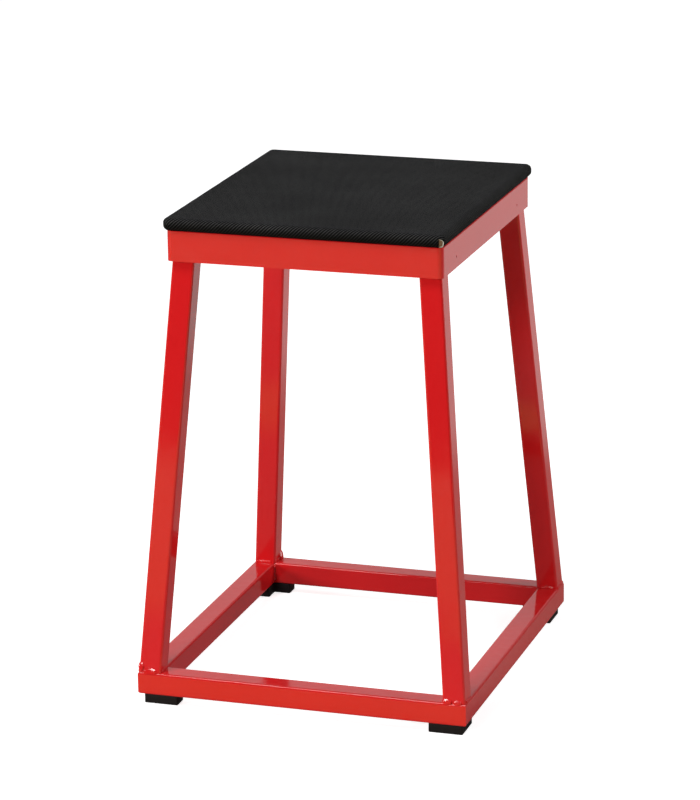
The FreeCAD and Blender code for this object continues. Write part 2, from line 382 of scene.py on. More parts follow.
class Coat:
    """Shader of one material, with the shared effects at hand."""

    def __init__(self, material: bpy.types.Material, effects: SharedEffects) -> None:
        """Keep the material's graph and shader, and object coordinates in metres.

        Args:
            material: Material to dress.
            effects: Node groups that the finishes share.
        """
        self.graph = Graph(material.node_tree)
        self.effects = effects
        self.shader = material.node_tree.nodes["Principled BSDF"]
        self.place = self.graph.add("ShaderNodeTexCoord").outputs["Object"]

    def put(self, label: str, value: Any) -> None:
        """Set or join one input of the shader."""
        self.graph.put(self.shader.inputs[label], value)

    def effect(self, tree: bpy.types.NodeTree, vector: Optional[Socket],
               values: dict[str, float]) -> bpy.types.Node:
        """A shared effect with its own values.

        Args:
            tree: Node group of the effect.
            vector: Coordinates that it follows, or None for the object's own.
            values: Label and value of each other input.

        Returns:
            The effect's node.
        """
        where = self.place if vector is None else vector
        return self.graph.add("ShaderNodeGroup", {"Vector": where, **values}, node_tree=tree)

    def cloud(self, look: Cloud, vector: Optional[Socket] = None) -> Socket:
        """Soft patches, as a share from 0 to 1."""
        values = {"Scale": look.scale, "Detail": look.detail, "Contrast": look.contrast}
        return self.effect(self.effects.cloud(), vector, values).outputs[0]

    def dusted(self, look: Dust, colour: Socket) -> Socket:
        """A colour with dust over it.

        Args:
            look: The dust.
            colour: Colour under it.

        Returns:
            The mixed colour.
        """
        values = {"Scale": look.scale, "Amount": look.amount}
        mask = self.effect(self.effects.dust(), None, values).outputs[0]
        return self.graph.blend(mask, colour, look.colour)

    def grain(self, look: Grain, vector: Optional[Socket] = None) -> None:
        """Give the shader a bump of fine grain."""
        values = {"Fine Scale": look.fine, "Slow Scale": look.slow, "Slow Share": look.slow_share}
        self.bump(self.effect(self.effects.grain(), vector, values).outputs[0], look.depth)

    def bump(self, height: Socket, depth: float) -> None:
        """Give the shader a bump of the height, with its depth in metres."""
        values = {"Height": height, "Distance": depth, "Strength": 1.0}
        self.put("Normal", self.graph.add("ShaderNodeBump", values).outputs["Normal"])


@dataclass(frozen=True)
class Finish:
    """A named finish, whose material is built once."""

    name: str

    def material(self, effects: SharedEffects) -> bpy.types.Material:
        """The finish as a Blender material.

        Args:
            effects: Node groups that the finishes share.

        Returns:
            The material.
        """
        made = bpy.data.materials.get(self.name)
        if made is None:
            made = bpy.data.materials.new(self.name)
            made.use_nodes = True
            self.dress(Coat(made, effects))
        return made

    def dress(self, coat: Coat) -> None:
        """Fill in the shader of a coat."""
        raise NotImplementedError


@dataclass(frozen=True)
class GlossPaint(Finish):
    """Red gloss enamel over steel, with a faint orange peel."""

    full: Colour = (0.800, 0.0150, 0.0175, 1.0)
    thin: Colour = (0.740, 0.0110, 0.0145, 1.0)
    roughness: Span = (0.05, 0.11)
    specular: float = 0.5
    patches: Cloud = Cloud(14.0, 4.0)
    specks: Cloud = Cloud(260.0, 2.0)
    speck_share: float = 0.3
    smears: Cloud = Cloud(35.0, 3.0)
    peel: Grain = Grain(420.0, 22.0, 0.010 * MM, 2.5)
    dust: Dust = Dust(90.0, 0.05, (0.72, 0.68, 0.62, 1.0))

    def dress(self, coat: Coat) -> None:
        """Uneven coat, gloss that varies a little and a fine peel.

        Args:
            coat: Coat to fill in.
        """
        graph = coat.graph
        uneven = graph.weigh(coat.cloud(self.specks), coat.cloud(self.patches), self.speck_share)
        colour = graph.blend(uneven, self.thin, self.full)
        coat.put("Base Color", coat.dusted(self.dust, colour))
        coat.put("Roughness", graph.spread(coat.cloud(self.smears), *self.roughness))
        coat.put("Specular IOR Level", self.specular)
        coat.grain(self.peel)


@dataclass(frozen=True)
class TwillCloth(Finish):
    """Black coated twill, which follows the flat cloth coordinates of the cover."""

    # warp colour is a painted highlight: the warp crowns are far lighter than the black cloth
    warp: Colour = (0.1900, 0.1900, 0.1930, 1.0)
    weft: Colour = (0.0015, 0.0015, 0.0018, 1.0)
    rubbed: Colour = (0.004, 0.004, 0.004, 1.0)
    yarn: float = 1.07 * MM
    yarn_depth: float = 0.30 * MM
    crown_shading_power: float = 3.0
    wear: Cloud = Cloud(11.0, 6.0, 3.0)
    most_wear: float = 0.34
    shade_heights: Span = (599.3 * MM, 608.0 * MM)
    shade_share: float = 0.30
    roughness: Span = (0.85, 0.62)
    specular: float = 0.04
    dust: Dust = Dust(140.0, 0.02, (0.25, 0.25, 0.24, 1.0))
    uv_name: str = "cloth"

    def dress(self, coat: Coat) -> None:
        """Twill yarns with painted highlight on the warp crowns and painted shade at the yarn
        edges, faint wear patches, painted shade on the lower edge and settled dust.

        Args:
            coat: Coat to fill in.
        """
        graph = coat.graph
        flat = graph.add("ShaderNodeUVMap", uv_map=self.uv_name).outputs["UV"]
        weave = coat.effect(coat.effects.twill(), flat, {"Yarn": self.yarn}).outputs
        # painted light: the yarn height raised to a power lights the warp crowns and shades the
        # yarn edges
        crown = graph.math("POWER", weave["Height"], self.crown_shading_power)
        yarns = graph.blend(graph.math("MULTIPLY", weave["Warp"], crown), self.weft, self.warp)
        wear = graph.spread(coat.cloud(self.wear), 0.0, self.most_wear)
        worn = graph.blend(wear, yarns, self.rubbed)
        # painted shade: the cover darkens towards its lower edge, by height
        height = graph.add("ShaderNodeSeparateXYZ", {0: coat.place}).outputs["Z"]
        shaded = graph.blend(graph.ease(height, self.shade_heights, self.shade_share), BLACK, worn)
        coat.put("Base Color", coat.dusted(self.dust, shaded))
        coat.put("Roughness", graph.spread(weave["Height"], *self.roughness))
        coat.put("Specular IOR Level", self.specular)
        coat.bump(weave["Height"], self.yarn_depth)


@dataclass(frozen=True)
class CutThreads(Finish):
    """Pale cut edge of the cover, with loose thread ends."""

    light: Colour = (0.80, 0.77, 0.70, 1.0)
    dark: Colour = (0.46, 0.42, 0.35, 1.0)
    roughness: Span = (0.75, 0.95)
    threads: Cloud = Cloud(900.0, 2.0, 2.5)
    ends: Grain = Grain(1400.0, 300.0, 0.2 * MM)

    def dress(self, coat: Coat) -> None:
        """Fine uneven threads.

        Args:
            coat: Coat to fill in.
        """
        threads = coat.cloud(self.threads)
        coat.put("Base Color", coat.graph.blend(threads, self.dark, self.light))
        coat.put("Roughness", coat.graph.spread(threads, *self.roughness))
        coat.grain(self.ends)


@dataclass(frozen=True)
class RawBoard(Finish):
    """Bare sheet board with stretched grain."""

    light: Colour = (0.520, 0.330, 0.210, 1.0)
    dark: Colour = (0.260, 0.145, 0.080, 1.0)
    roughness: Span = (0.6, 0.85)
    stretch: Point = (1.0, 9.0, 14.0)
    figure: Cloud = Cloud(7.0, 6.0, 2.4)
    fibres: Cloud = Cloud(110.0, 3.0)
    fibre_share: float = 0.4
    dry: Grain = Grain(300.0, 60.0, 0.08 * MM)

    def dress(self, coat: Coat) -> None:
        """Long grain, fine fibres and a dry surface.

        Args:
            coat: Coat to fill in.
        """
        graph = coat.graph
        values = {"Vector": coat.place, "Scale": self.stretch}
        stretched = graph.add("ShaderNodeMapping", values).outputs[0]
        fibres = coat.cloud(self.fibres, stretched)
        uneven = graph.weigh(fibres, coat.cloud(self.figure, stretched), self.fibre_share)
        coat.put("Base Color", graph.blend(uneven, self.dark, self.light))
        coat.put("Roughness", graph.spread(fibres, *self.roughness))
        coat.grain(self.dry, stretched)


@dataclass(frozen=True)
class MouldedRubber(Finish):
    """Dark moulded rubber with a fine matt grain and scuffed patches."""

    clean: Colour = (0.0040, 0.0022, 0.0028, 1.0)
    scuffed: Colour = (0.0105, 0.0064, 0.0074, 1.0)
    roughness: Span = (0.55, 0.8)
    specular: float = 0.28
    scuffs: Cloud = Cloud(130.0, 5.0, 2.4)
    matt: Grain = Grain(1100.0, 90.0, 0.06 * MM)
    dust: Dust = Dust(150.0, 0.08, (0.26, 0.21, 0.21, 1.0))

    def dress(self, coat: Coat) -> None:
        """Grain, scuffs and dust.

        Args:
            coat: Coat to fill in.
        """
        scuffs = coat.cloud(self.scuffs)
        colour = coat.graph.blend(scuffs, self.clean, self.scuffed)
        coat.put("Base Color", coat.dusted(self.dust, colour))
        coat.put("Roughness", coat.graph.spread(scuffs, *self.roughness))
        coat.put("Specular IOR Level", self.specular)
        coat.grain(self.matt)


@dataclass(frozen=True)
class ZincSteel(Finish):
    """Zinc-plated steel of screws, washers and staples."""

    bright: Colour = (0.66, 0.66, 0.63, 1.0)
    dull: Colour = (0.42, 0.42, 0.41, 1.0)
    roughness: Span = (0.45, 0.25)
    plating: Cloud = Cloud(320.0, 4.0, 2.0)
    scratches: Grain = Grain(1800.0, 400.0, 0.02 * MM)

    def dress(self, coat: Coat) -> None:
        """Uneven plating with fine scratches.

        Args:
            coat: Coat to fill in.
        """
        plating = coat.cloud(self.plating)
        coat.put("Base Color", coat.graph.blend(plating, self.dull, self.bright))
        coat.put("Roughness", coat.graph.spread(plating, *self.roughness))
        coat.put("Metallic", 1.0)
        coat.grain(self.scratches)


def facing(azimuth: float, elevation: float) -> Vector:
    """Direction at an azimuth from the front and an elevation, both in degrees."""
    az, el = math.radians(azimuth), math.radians(elevation)
    return Vector((math.sin(az) * math.cos(el), -math.cos(az) * math.cos(el), math.sin(el)))


def rightward(azimuth: float) -> Vector:
    """Level direction to the right, as seen from an azimuth in degrees."""
    az = math.radians(azimuth)
    return Vector((math.cos(az), math.sin(az), 0.0))


def show_piece(name: str, data: bpy.types.ID) -> bpy.types.Object:
    """Put a mesh, light or camera in the scene as an object at the origin.

    Args:
        name: Name of the piece.
        data: Its mesh, light or camera.

    Returns:
        The new object.
    """
    obj = bpy.data.objects.new(name, data)
    bpy.context.scene.collection.objects.link(obj)
    return obj


def settle(obj: bpy.types.Object) -> bpy.types.Object:
    """Turn an object's modifiers into a plain mesh.

    Args:
        obj: Object with live modifiers.

    Returns:
        The same object without modifiers.
    """
    depsgraph = bpy.context.evaluated_depsgraph_get()
    mesh = bpy.data.meshes.new_from_object(
        obj.evaluated_get(depsgraph), preserve_all_data_layers=True, depsgraph=depsgraph)
    mesh.name = obj.name
    obj.modifiers.clear()
    obj.data = mesh
    return obj


def smooth(obj: bpy.types.Object, sharp_from: float) -> bpy.types.Object:
    """Smooth the gentle edges of an object and keep the sharp ones.

    Args:
        obj: Object with a plain mesh.
        sharp_from: Angle from which an edge stays sharp, in degrees.

    Returns:
        The same object.
    """
    obj.data.polygons.foreach_set("use_smooth", [True] * len(obj.data.polygons))
    obj.data.set_sharp_from_angle(angle=math.radians(sharp_from))
    return obj


def register(obj: bpy.types.Object, slot: Slot, *replaced: str) -> None:
    """Make a finished piece ride on the stand and stand for its solids.

    Args:
        obj: The piece.
        slot: Its material slot; not used.
        replaced: Names of the solids.
    """
    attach(obj, BODY)
    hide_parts(*replaced)
    LOG.info("%s: %d faces", obj.name, len(obj.data.polygons))


def paint_node(name: str, material: bpy.types.Material) -> None:
    """Give a carried-over solid its finish.

    Args:
        name: Name of the solid.
        material: Its finish.
    """
    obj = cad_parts[name]
    if not obj.material_slots:
        obj.data.materials.append(material)
    for slot in obj.material_slots:
        slot.material = material
    LOG.info("%s: %s", name, material.name)


def mesh_from(name: str, points: Iterable[Sequence[float]],
              faces: Iterable[Sequence[int]]) -> bpy.types.Mesh:
    """A mesh from points and faces.

    Args:
        name: Name of the mesh.
        points: Places of the vertices, in metres.
        faces: Vertex numbers of each face.

    Returns:
        The mesh.
    """
    mesh = bpy.data.meshes.new(name)
    mesh.from_pydata([tuple(p) for p in points], [], [tuple(f) for f in faces])
    mesh.update()
    return mesh


@contextmanager
def reshaped(mesh: bpy.types.Mesh,
             source: Optional[bpy.types.Mesh] = None) -> Iterator[bmesh.types.BMesh]:
    """Working shape that a mesh takes when the block ends.

    Args:
        mesh: Mesh that takes the shape.
        source: Mesh that the shape starts from, or None to start empty.

    Yields:
        The working shape.
    """
    shape = bmesh.new()
    if source is not None:
        shape.from_mesh(source)
    yield shape
    shape.to_mesh(mesh)
    shape.free()


def lathe(name: str, profile: Sequence[tuple[float, float]], segments: int) -> bpy.types.Mesh:
    """A closed turned shape about the upright axis.

    Args:
        name: Name of the mesh.
        profile: Radius and height of each ring, ending where it starts or on the axis.
        segments: Number of flats round the axis.

    Returns:
        The mesh, with its normals outwards.
    """
    mesh = bpy.data.meshes.new(name)
    angles = [2.0 * math.pi * number / segments for number in range(segments)]
    with reshaped(mesh) as shape:
        rings = [
            [shape.verts.new((radius * math.cos(a), radius * math.sin(a), height)) for a in angles]
            for radius, height in profile
        ]
        for lower, upper in zip(rings, rings[1:]):
            for number in range(segments):
                after = (number + 1) % segments
                shape.faces.new((lower[number], lower[after], upper[after], upper[number]))
        bmesh.ops.remove_doubles(shape, verts=shape.verts, dist=SAME_PLACE)
        bmesh.ops.recalc_face_normals(shape, faces=shape.faces)
    return mesh


class NodeRecipe:
    """A Geometry Nodes tree with named inputs, applied to a piece and settled to a plain mesh."""

    def __init__(self, name: str, inputs: dict[str, str]) -> None:
        """Open the tree and its sockets.

        Args:
            name: Name of the tree.
            inputs: Label and kind of each input after the geometry.
        """
        self.tree = bpy.data.node_groups.new(name, "GeometryNodeTree")
        open_socket = self.tree.interface.new_socket
        for way in ("INPUT", "OUTPUT"):
            open_socket("Geometry", in_out=way, socket_type="NodeSocketGeometry")
        self.keys = {
            label: open_socket(label, in_out="INPUT", socket_type="NodeSocket" + kind).identifier
            for label, kind in inputs.items()
        }
        self.graph = Graph(self.tree)
        self.source = self.graph.add("NodeGroupInput")
        self.sink = self.graph.add("NodeGroupOutput")

    def value(self, label: str) -> Socket:
        """Output of the input node with that label."""
        return self.source.outputs[label]

    def attribute(self, name: str) -> Socket:
        """A named value that the mesh's points carry."""
        kind = "GeometryNodeInputNamedAttribute"
        return self.graph.add(kind, {"Name": name}, data_type="FLOAT").outputs[0]

    def close(self, geometry: Socket, material: Socket) -> None:
        """End the tree with real geometry and its finish.

        Args:
            geometry: What the tree has made.
            material: Its finish.
        """
        real = self.graph.add("GeometryNodeRealizeInstances", {"Geometry": geometry}).outputs[0]
        values = {"Geometry": real, "Material": material}
        done = self.graph.add("GeometryNodeSetMaterial", values).outputs[0]
        self.graph.put(self.sink.inputs[0], done)

    def apply(self, obj: bpy.types.Object, values: dict[str, Any]) -> bpy.types.Object:
        """Run the tree on an object.

        Args:
            obj: Object whose mesh the tree starts from.
            values: Label to value of each input.

        Returns:
            The same object with a plain mesh.
        """
        modifier = obj.modifiers.new(self.tree.name, "NODES")
        modifier.node_group = self.tree
        for label, value in values.items():
            modifier[self.keys[label]] = value
        bpy.context.view_layer.update()
        return settle(obj)


def carry(mesh: bpy.types.Mesh, name: str, values: list[float]) -> None:
    """Give each point of a mesh a named value."""
    mesh.attributes.new(name, "FLOAT", "POINT").data.foreach_set("value", values)


@dataclass(frozen=True)
class WeldRun:
    """One straight weld, with its size."""

    start: Vector
    end: Vector
    radius: float


@dataclass(frozen=True)
class BeadSpan:
    """Part of a leg's face that a bead covers, in shares of the face, and its relative size."""

    start: float
    end: float
    size: float = 1.0


@dataclass(frozen=True)
class WeldLump:
    """An oval lump of weld metal, with lengths in millimetres from the leg's low corner."""

    corner: Corner
    across: float
    inward: float
    height: float
    half_sizes: tuple[float, float, float]
    azimuth: float
    elevation: float

    def axes(self) -> tuple[Vector, Vector, Vector]:
        """Directions along the lump, up its broad side and out of it."""
        out, along = facing(self.azimuth, self.elevation), rightward(self.azimuth)
        return along, out.cross(along), out


@dataclass
class Welds:
    """Rippled weld beads that join the legs, the base ring and the ring under the top."""

    paint: GlossPaint
    tube: float = 28.3 * MM
    tube_round: float = 3.0 * MM
    base_radius: float = 3.4 * MM
    base_proud: float = 1.45 * MM
    base_lift: float = 0.9 * MM
    top_radius: float = 2.4 * MM
    corner_radius: float = 2.2 * MM
    end_gap: float = 4.0 * MM
    ripple_pitch: float = 2.6 * MM
    ripple_depth: float = 0.03
    ripple_points: float = 8.0
    ripple_drift: float = 5.0
    swell_scale: float = 260.0
    swell_detail: float = 1.0
    least_swell: float = 0.8
    swell_range: float = 0.4
    end_slope: float = 9.0
    end_power: float = 0.5
    least_end: float = 0.08
    bead_flats: int = 14
    wobble: float = 0.45 * MM
    wobble_scale: float = 420.0
    wobble_detail: float = 2.0
    lump_wobble: float = 0.07
    lump_scale: float = 2.3
    lump_spread: float = 1000.0
    lump_fineness: int = 4
    lumps: tuple[WeldLump, ...] = (
        WeldLump(Corner.FRONT_LEFT, 16.5, -0.3, 2.6, (8.5, 4.4, 0.5), 5.5, 19.0),
        WeldLump(Corner.FRONT_LEFT, 3.4, 0.2, 8.0, (3.6, 5.5, 0.6), 3.0, 18.5),
        WeldLump(Corner.FRONT_RIGHT, 5.8, -0.25, 2.2, (6.0, 4.0, 0.5), 5.5, 19.0),
        WeldLump(Corner.FRONT_RIGHT, 18.9, -0.2, 1.8, (4.8, 3.4, 0.5), 6.0, 19.0),
        WeldLump(Corner.REAR_LEFT, 28.4, 21.0, 7.0, (5.0, 8.5, 2.0), 60.0, 29.0),
    )
    seed: int = 7

    def __post_init__(self) -> None:
        """Make the tree for the beads, and the span of a plain bead."""
        self.recipe = self.bead_recipe()
        gap = self.end_gap / self.tube
        self.plain = BeadSpan(gap, 1.0 - gap)

    def bead_recipe(self) -> NodeRecipe:
        """Tree that turns each edge of a mesh into a rippled bead.

        Returns:
            The tree.
        """
        kinds = {"Ripple Pitch": "Float", "Ripple Depth": "Float", "Wobble": "Float", "Seed": "Int"}
        recipe = NodeRecipe("weld_bead", {**kinds, "Paint": "Material"})
        graph, pitch, seed = recipe.graph, recipe.value("Ripple Pitch"), recipe.value("Seed")
        line = graph.add("GeometryNodeMeshToCurve", {"Mesh": recipe.value("Geometry")}).outputs[0]
        values = {"Curve": line, "Length": graph.math("DIVIDE", pitch, self.ripple_points)}
        fine = graph.add("GeometryNodeResampleCurve", values, mode="LENGTH").outputs[0]
        spline = graph.add("GeometryNodeSplineParameter").outputs
        values = {"Scale": self.swell_scale, "Detail": self.swell_detail, "W": seed}
        uneven = graph.add("ShaderNodeTexNoise", values, noise_dimensions="4D").outputs["Fac"]
        turns = graph.math("DIVIDE", spline["Length"], pitch)
        drift = graph.math("MULTIPLY", uneven, self.ripple_drift)
        phase = graph.math("MULTIPLY_ADD", turns, 2.0 * math.pi, drift)
        ripple = graph.math("MULTIPLY", graph.math("SINE", phase), recipe.value("Ripple Depth"))
        swell = graph.math("MULTIPLY_ADD", uneven, self.swell_range, self.least_swell)
        left = graph.math("SUBTRACT", 1.0, spline["Factor"])
        near = graph.math("MINIMUM", spline["Factor"], left)
        eased = graph.math("MINIMUM", graph.math("MULTIPLY", near, self.end_slope), 1.0)
        ends = graph.math("MAXIMUM", graph.math("POWER", eased, self.end_power), self.least_end)
        scale = graph.product(recipe.attribute("bead"), graph.math("ADD", swell, ripple), ends)
        values = {"Resolution": self.bead_flats, "Radius": 1.0}
        ring = graph.add("GeometryNodeCurvePrimitiveCircle", values).outputs[0]
        values = {"Curve": fine, "Profile Curve": ring, "Scale": scale, "Fill Caps": True}
        bead = graph.add("GeometryNodeCurveToMesh", values).outputs[0]
        values = {"Scale": self.wobble_scale, "Detail": self.wobble_detail, "W": seed}
        tossed = graph.add("ShaderNodeTexNoise", values, noise_dimensions="4D").outputs["Color"]
        values = {0: tossed, 1: (0.5, 0.5, 0.5)}
        centred = graph.add("ShaderNodeVectorMath", values, operation="SUBTRACT").outputs[0]
        values = {0: centred, "Scale": recipe.value("Wobble")}
        shift = graph.add("ShaderNodeVectorMath", values, operation="SCALE").outputs[0]
        values = {"Geometry": bead, "Offset": shift}
        moved = graph.add("GeometryNodeSetPosition", values).outputs[0]
        soft = graph.add("GeometryNodeSetShadeSmooth", {"Geometry": moved}).outputs[0]
        recipe.close(soft, recipe.value("Paint"))
        return recipe

    def square_of(self, corner: Corner, at_foot: bool) -> tuple[Vector, Vector]:
        """Where a leg stands on the base ring or ends under the ring's flange.

        Args:
            corner: Corner of the stand that the leg is at.
            at_foot: Whether the foot or the head of the leg is meant.

        Returns:
            Lowest and highest corner of the leg's square there.
        """
        low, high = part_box("leg_" + corner.label)
        x, y = (
            low[axis] if (sign < 0) == at_foot else high[axis] - self.tube
            for axis, sign in enumerate(corner.value)
        )
        level = low.z if at_foot else high.z
        return Vector((x, y, level)), Vector((x + self.tube, y + self.tube, level))

    def face_run(self, corner: Corner, face: LegFace, span: BeadSpan, at_foot: bool) -> WeldRun:
        """A run along one face of a leg's square.

        Args:
            corner: Corner of the stand that the leg is at.
            face: Face of the leg.
            span: Where the run starts and ends, from left to right or from front to back.
            at_foot: Whether the run is at the foot or at the head of the leg.

        Returns:
            The run.
        """
        low, high = self.square_of(corner, at_foot)
        axis, outer = face.value
        far = high if (corner.value[axis] > 0) == outer else low
        ends = []
        for share in (span.start, span.end):
            place = low.lerp(high, share)
            place[axis] = far[axis]
            ends.append(place)
        radius = self.base_radius if at_foot else self.top_radius
        return WeldRun(*ends, radius * span.size)

    def base_runs(self) -> list[WeldRun]:
        """Beads round the feet of the legs, short or long as the welder left them.

        Returns:
            The runs.
        """
        special = {
            (Corner.FRONT_LEFT, LegFace.END_OUTER): [BeadSpan(0.20, 0.84, 1.2)],
            (Corner.FRONT_LEFT, LegFace.SIDE_OUTER): [BeadSpan(0.02, 0.70)],
            (Corner.FRONT_RIGHT, LegFace.END_OUTER): [
                BeadSpan(0.02, 0.44), BeadSpan(0.48, 0.86, 0.95)],
            (Corner.REAR_LEFT, LegFace.SIDE_INNER): [BeadSpan(0.0, 1.0, 1.3)],
            (Corner.REAR_RIGHT, LegFace.SIDE_OUTER): [BeadSpan(0.0, 1.0)],
        }
        return [
            self.settled(self.face_run(corner, face, span, True), corner, face)
            for corner in Corner
            for face in LegFace
            for span in special.get((corner, face), [self.plain])
        ]

    def settled(self, run: WeldRun, corner: Corner, face: LegFace) -> WeldRun:
        """A run set a little into its leg and up from the rail.

        Args:
            run: Run on the edge of the leg.
            corner: Corner of the stand that the leg is at.
            face: Face of the leg.

        Returns:
            The moved run.
        """
        axis, outer = face.value
        proud = self.base_proud * math.sqrt(self.base_radius / run.radius)
        step = Vector((0.0, 0.0, self.base_lift))
        step[axis] = corner.value[axis] * (-1 if outer else 1) * (run.radius - proud)
        return WeldRun(run.start + step, run.end + step, run.radius)

    def add_lumps(self, mesh: bpy.types.Mesh) -> None:
        """Add the oval lumps to the beads round the feet of the legs.

        Args:
            mesh: Mesh of the beads.
        """
        with reshaped(mesh, mesh) as shape:
            for lump in self.lumps:
                foot, _ = self.square_of(lump.corner, True)
                middle = foot + Vector((lump.across, lump.inward, lump.height)) * MM
                made = bmesh.ops.create_icosphere(
                    shape, subdivisions=self.lump_fineness, radius=1.0)
                for vert in made["verts"]:
                    spot = vert.co * self.lump_scale + middle * self.lump_spread
                    swell = 1.0 + self.lump_wobble * noise.noise(spot)
                    steps = zip(lump.axes(), vert.co, lump.half_sizes)
                    reach = (axis * part * half * MM * swell for axis, part, half in steps)
                    vert.co = middle + sum(reach, Vector())
                for face in {face for vert in made["verts"] for face in vert.link_faces}:
                    face.smooth = True

    def top_runs(self) -> list[WeldRun]:
        """Beads between the inner faces of the legs and the flange of the ring.

        Returns:
            The runs.
        """
        return [
            self.face_run(corner, face, self.plain, False)
            for corner in Corner
            for face in (LegFace.END_INNER, LegFace.SIDE_INNER)
        ]

    def ring_runs(self) -> list[WeldRun]:
        """Upright beads in the inner corners of the base ring.

        Returns:
            The runs.
        """
        low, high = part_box("base_rail_front")
        runs = []
        for sx, sy in (corner.value for corner in Corner):
            x, y = sx * (high.x - self.tube), sy * (-low.y - self.tube)
            start = Vector((x, y, low.z + self.tube_round))
            end = Vector((x, y, high.z - self.tube_round / 2))
            runs.append(WeldRun(start, end, self.corner_radius))
        return runs

    def build(self, effects: SharedEffects) -> None:
        """Make the three groups of beads and dress them.

        Args:
            effects: Node groups that the finishes share.
        """
        material = self.paint.material(effects)
        groups = {
            "leg_base_welds": self.base_runs(),
            "leg_top_welds": self.top_runs(),
            "base_corner_welds": self.ring_runs(),
        }
        for number, (node, runs) in enumerate(groups.items()):
            obj = self.beads(node, runs, material, self.seed + number)
            if node == "leg_base_welds":
                self.add_lumps(obj.data)
            register(obj, Slot.PAINT, node)

    def beads(self, node: str, runs: list[WeldRun], material: bpy.types.Material,
              seed: int) -> bpy.types.Object:
        """Make one group of beads.

        Args:
            node: Solid that the group stands for.
            runs: The beads.
            material: Their paint.
            seed: Seed of their unevenness.

        Returns:
            The beads, as one object.
        """
        mesh = bpy.data.meshes.new(node + "_beads")
        points = [tuple(place) for run in runs for place in (run.start, run.end)]
        mesh.from_pydata(points, [(2 * n, 2 * n + 1) for n in range(len(runs))], [])
        carry(mesh, "bead", [run.radius for run in runs for _ in range(2)])
        return self.recipe.apply(show_piece(node + "_beads", mesh), {
            "Ripple Pitch": self.ripple_pitch,
            "Ripple Depth": self.ripple_depth,
            "Wobble": self.wobble,
            "Seed": seed,
            "Paint": material,
        })


@dataclass
class SteelFrame:
    """Base ring, legs and the ring of angle iron, shown by their own solids."""

    paint: GlossPaint

    def dress(self, effects: SharedEffects) -> None:
        """Paint each tube and angle.

        Args:
            effects: Node groups that the finishes share.
        """
        material = self.paint.material(effects)
        for kind, places in (("base_rail_", Side), ("leg_", Corner), ("apron_", Side)):
            for place in places:
                paint_node(kind + place.label, material)


@dataclass(frozen=True)
class Station:
    """One ring of the cover: its inset from the edge, its height and its run along the cloth."""

    inset: float
    height: float
    run: float


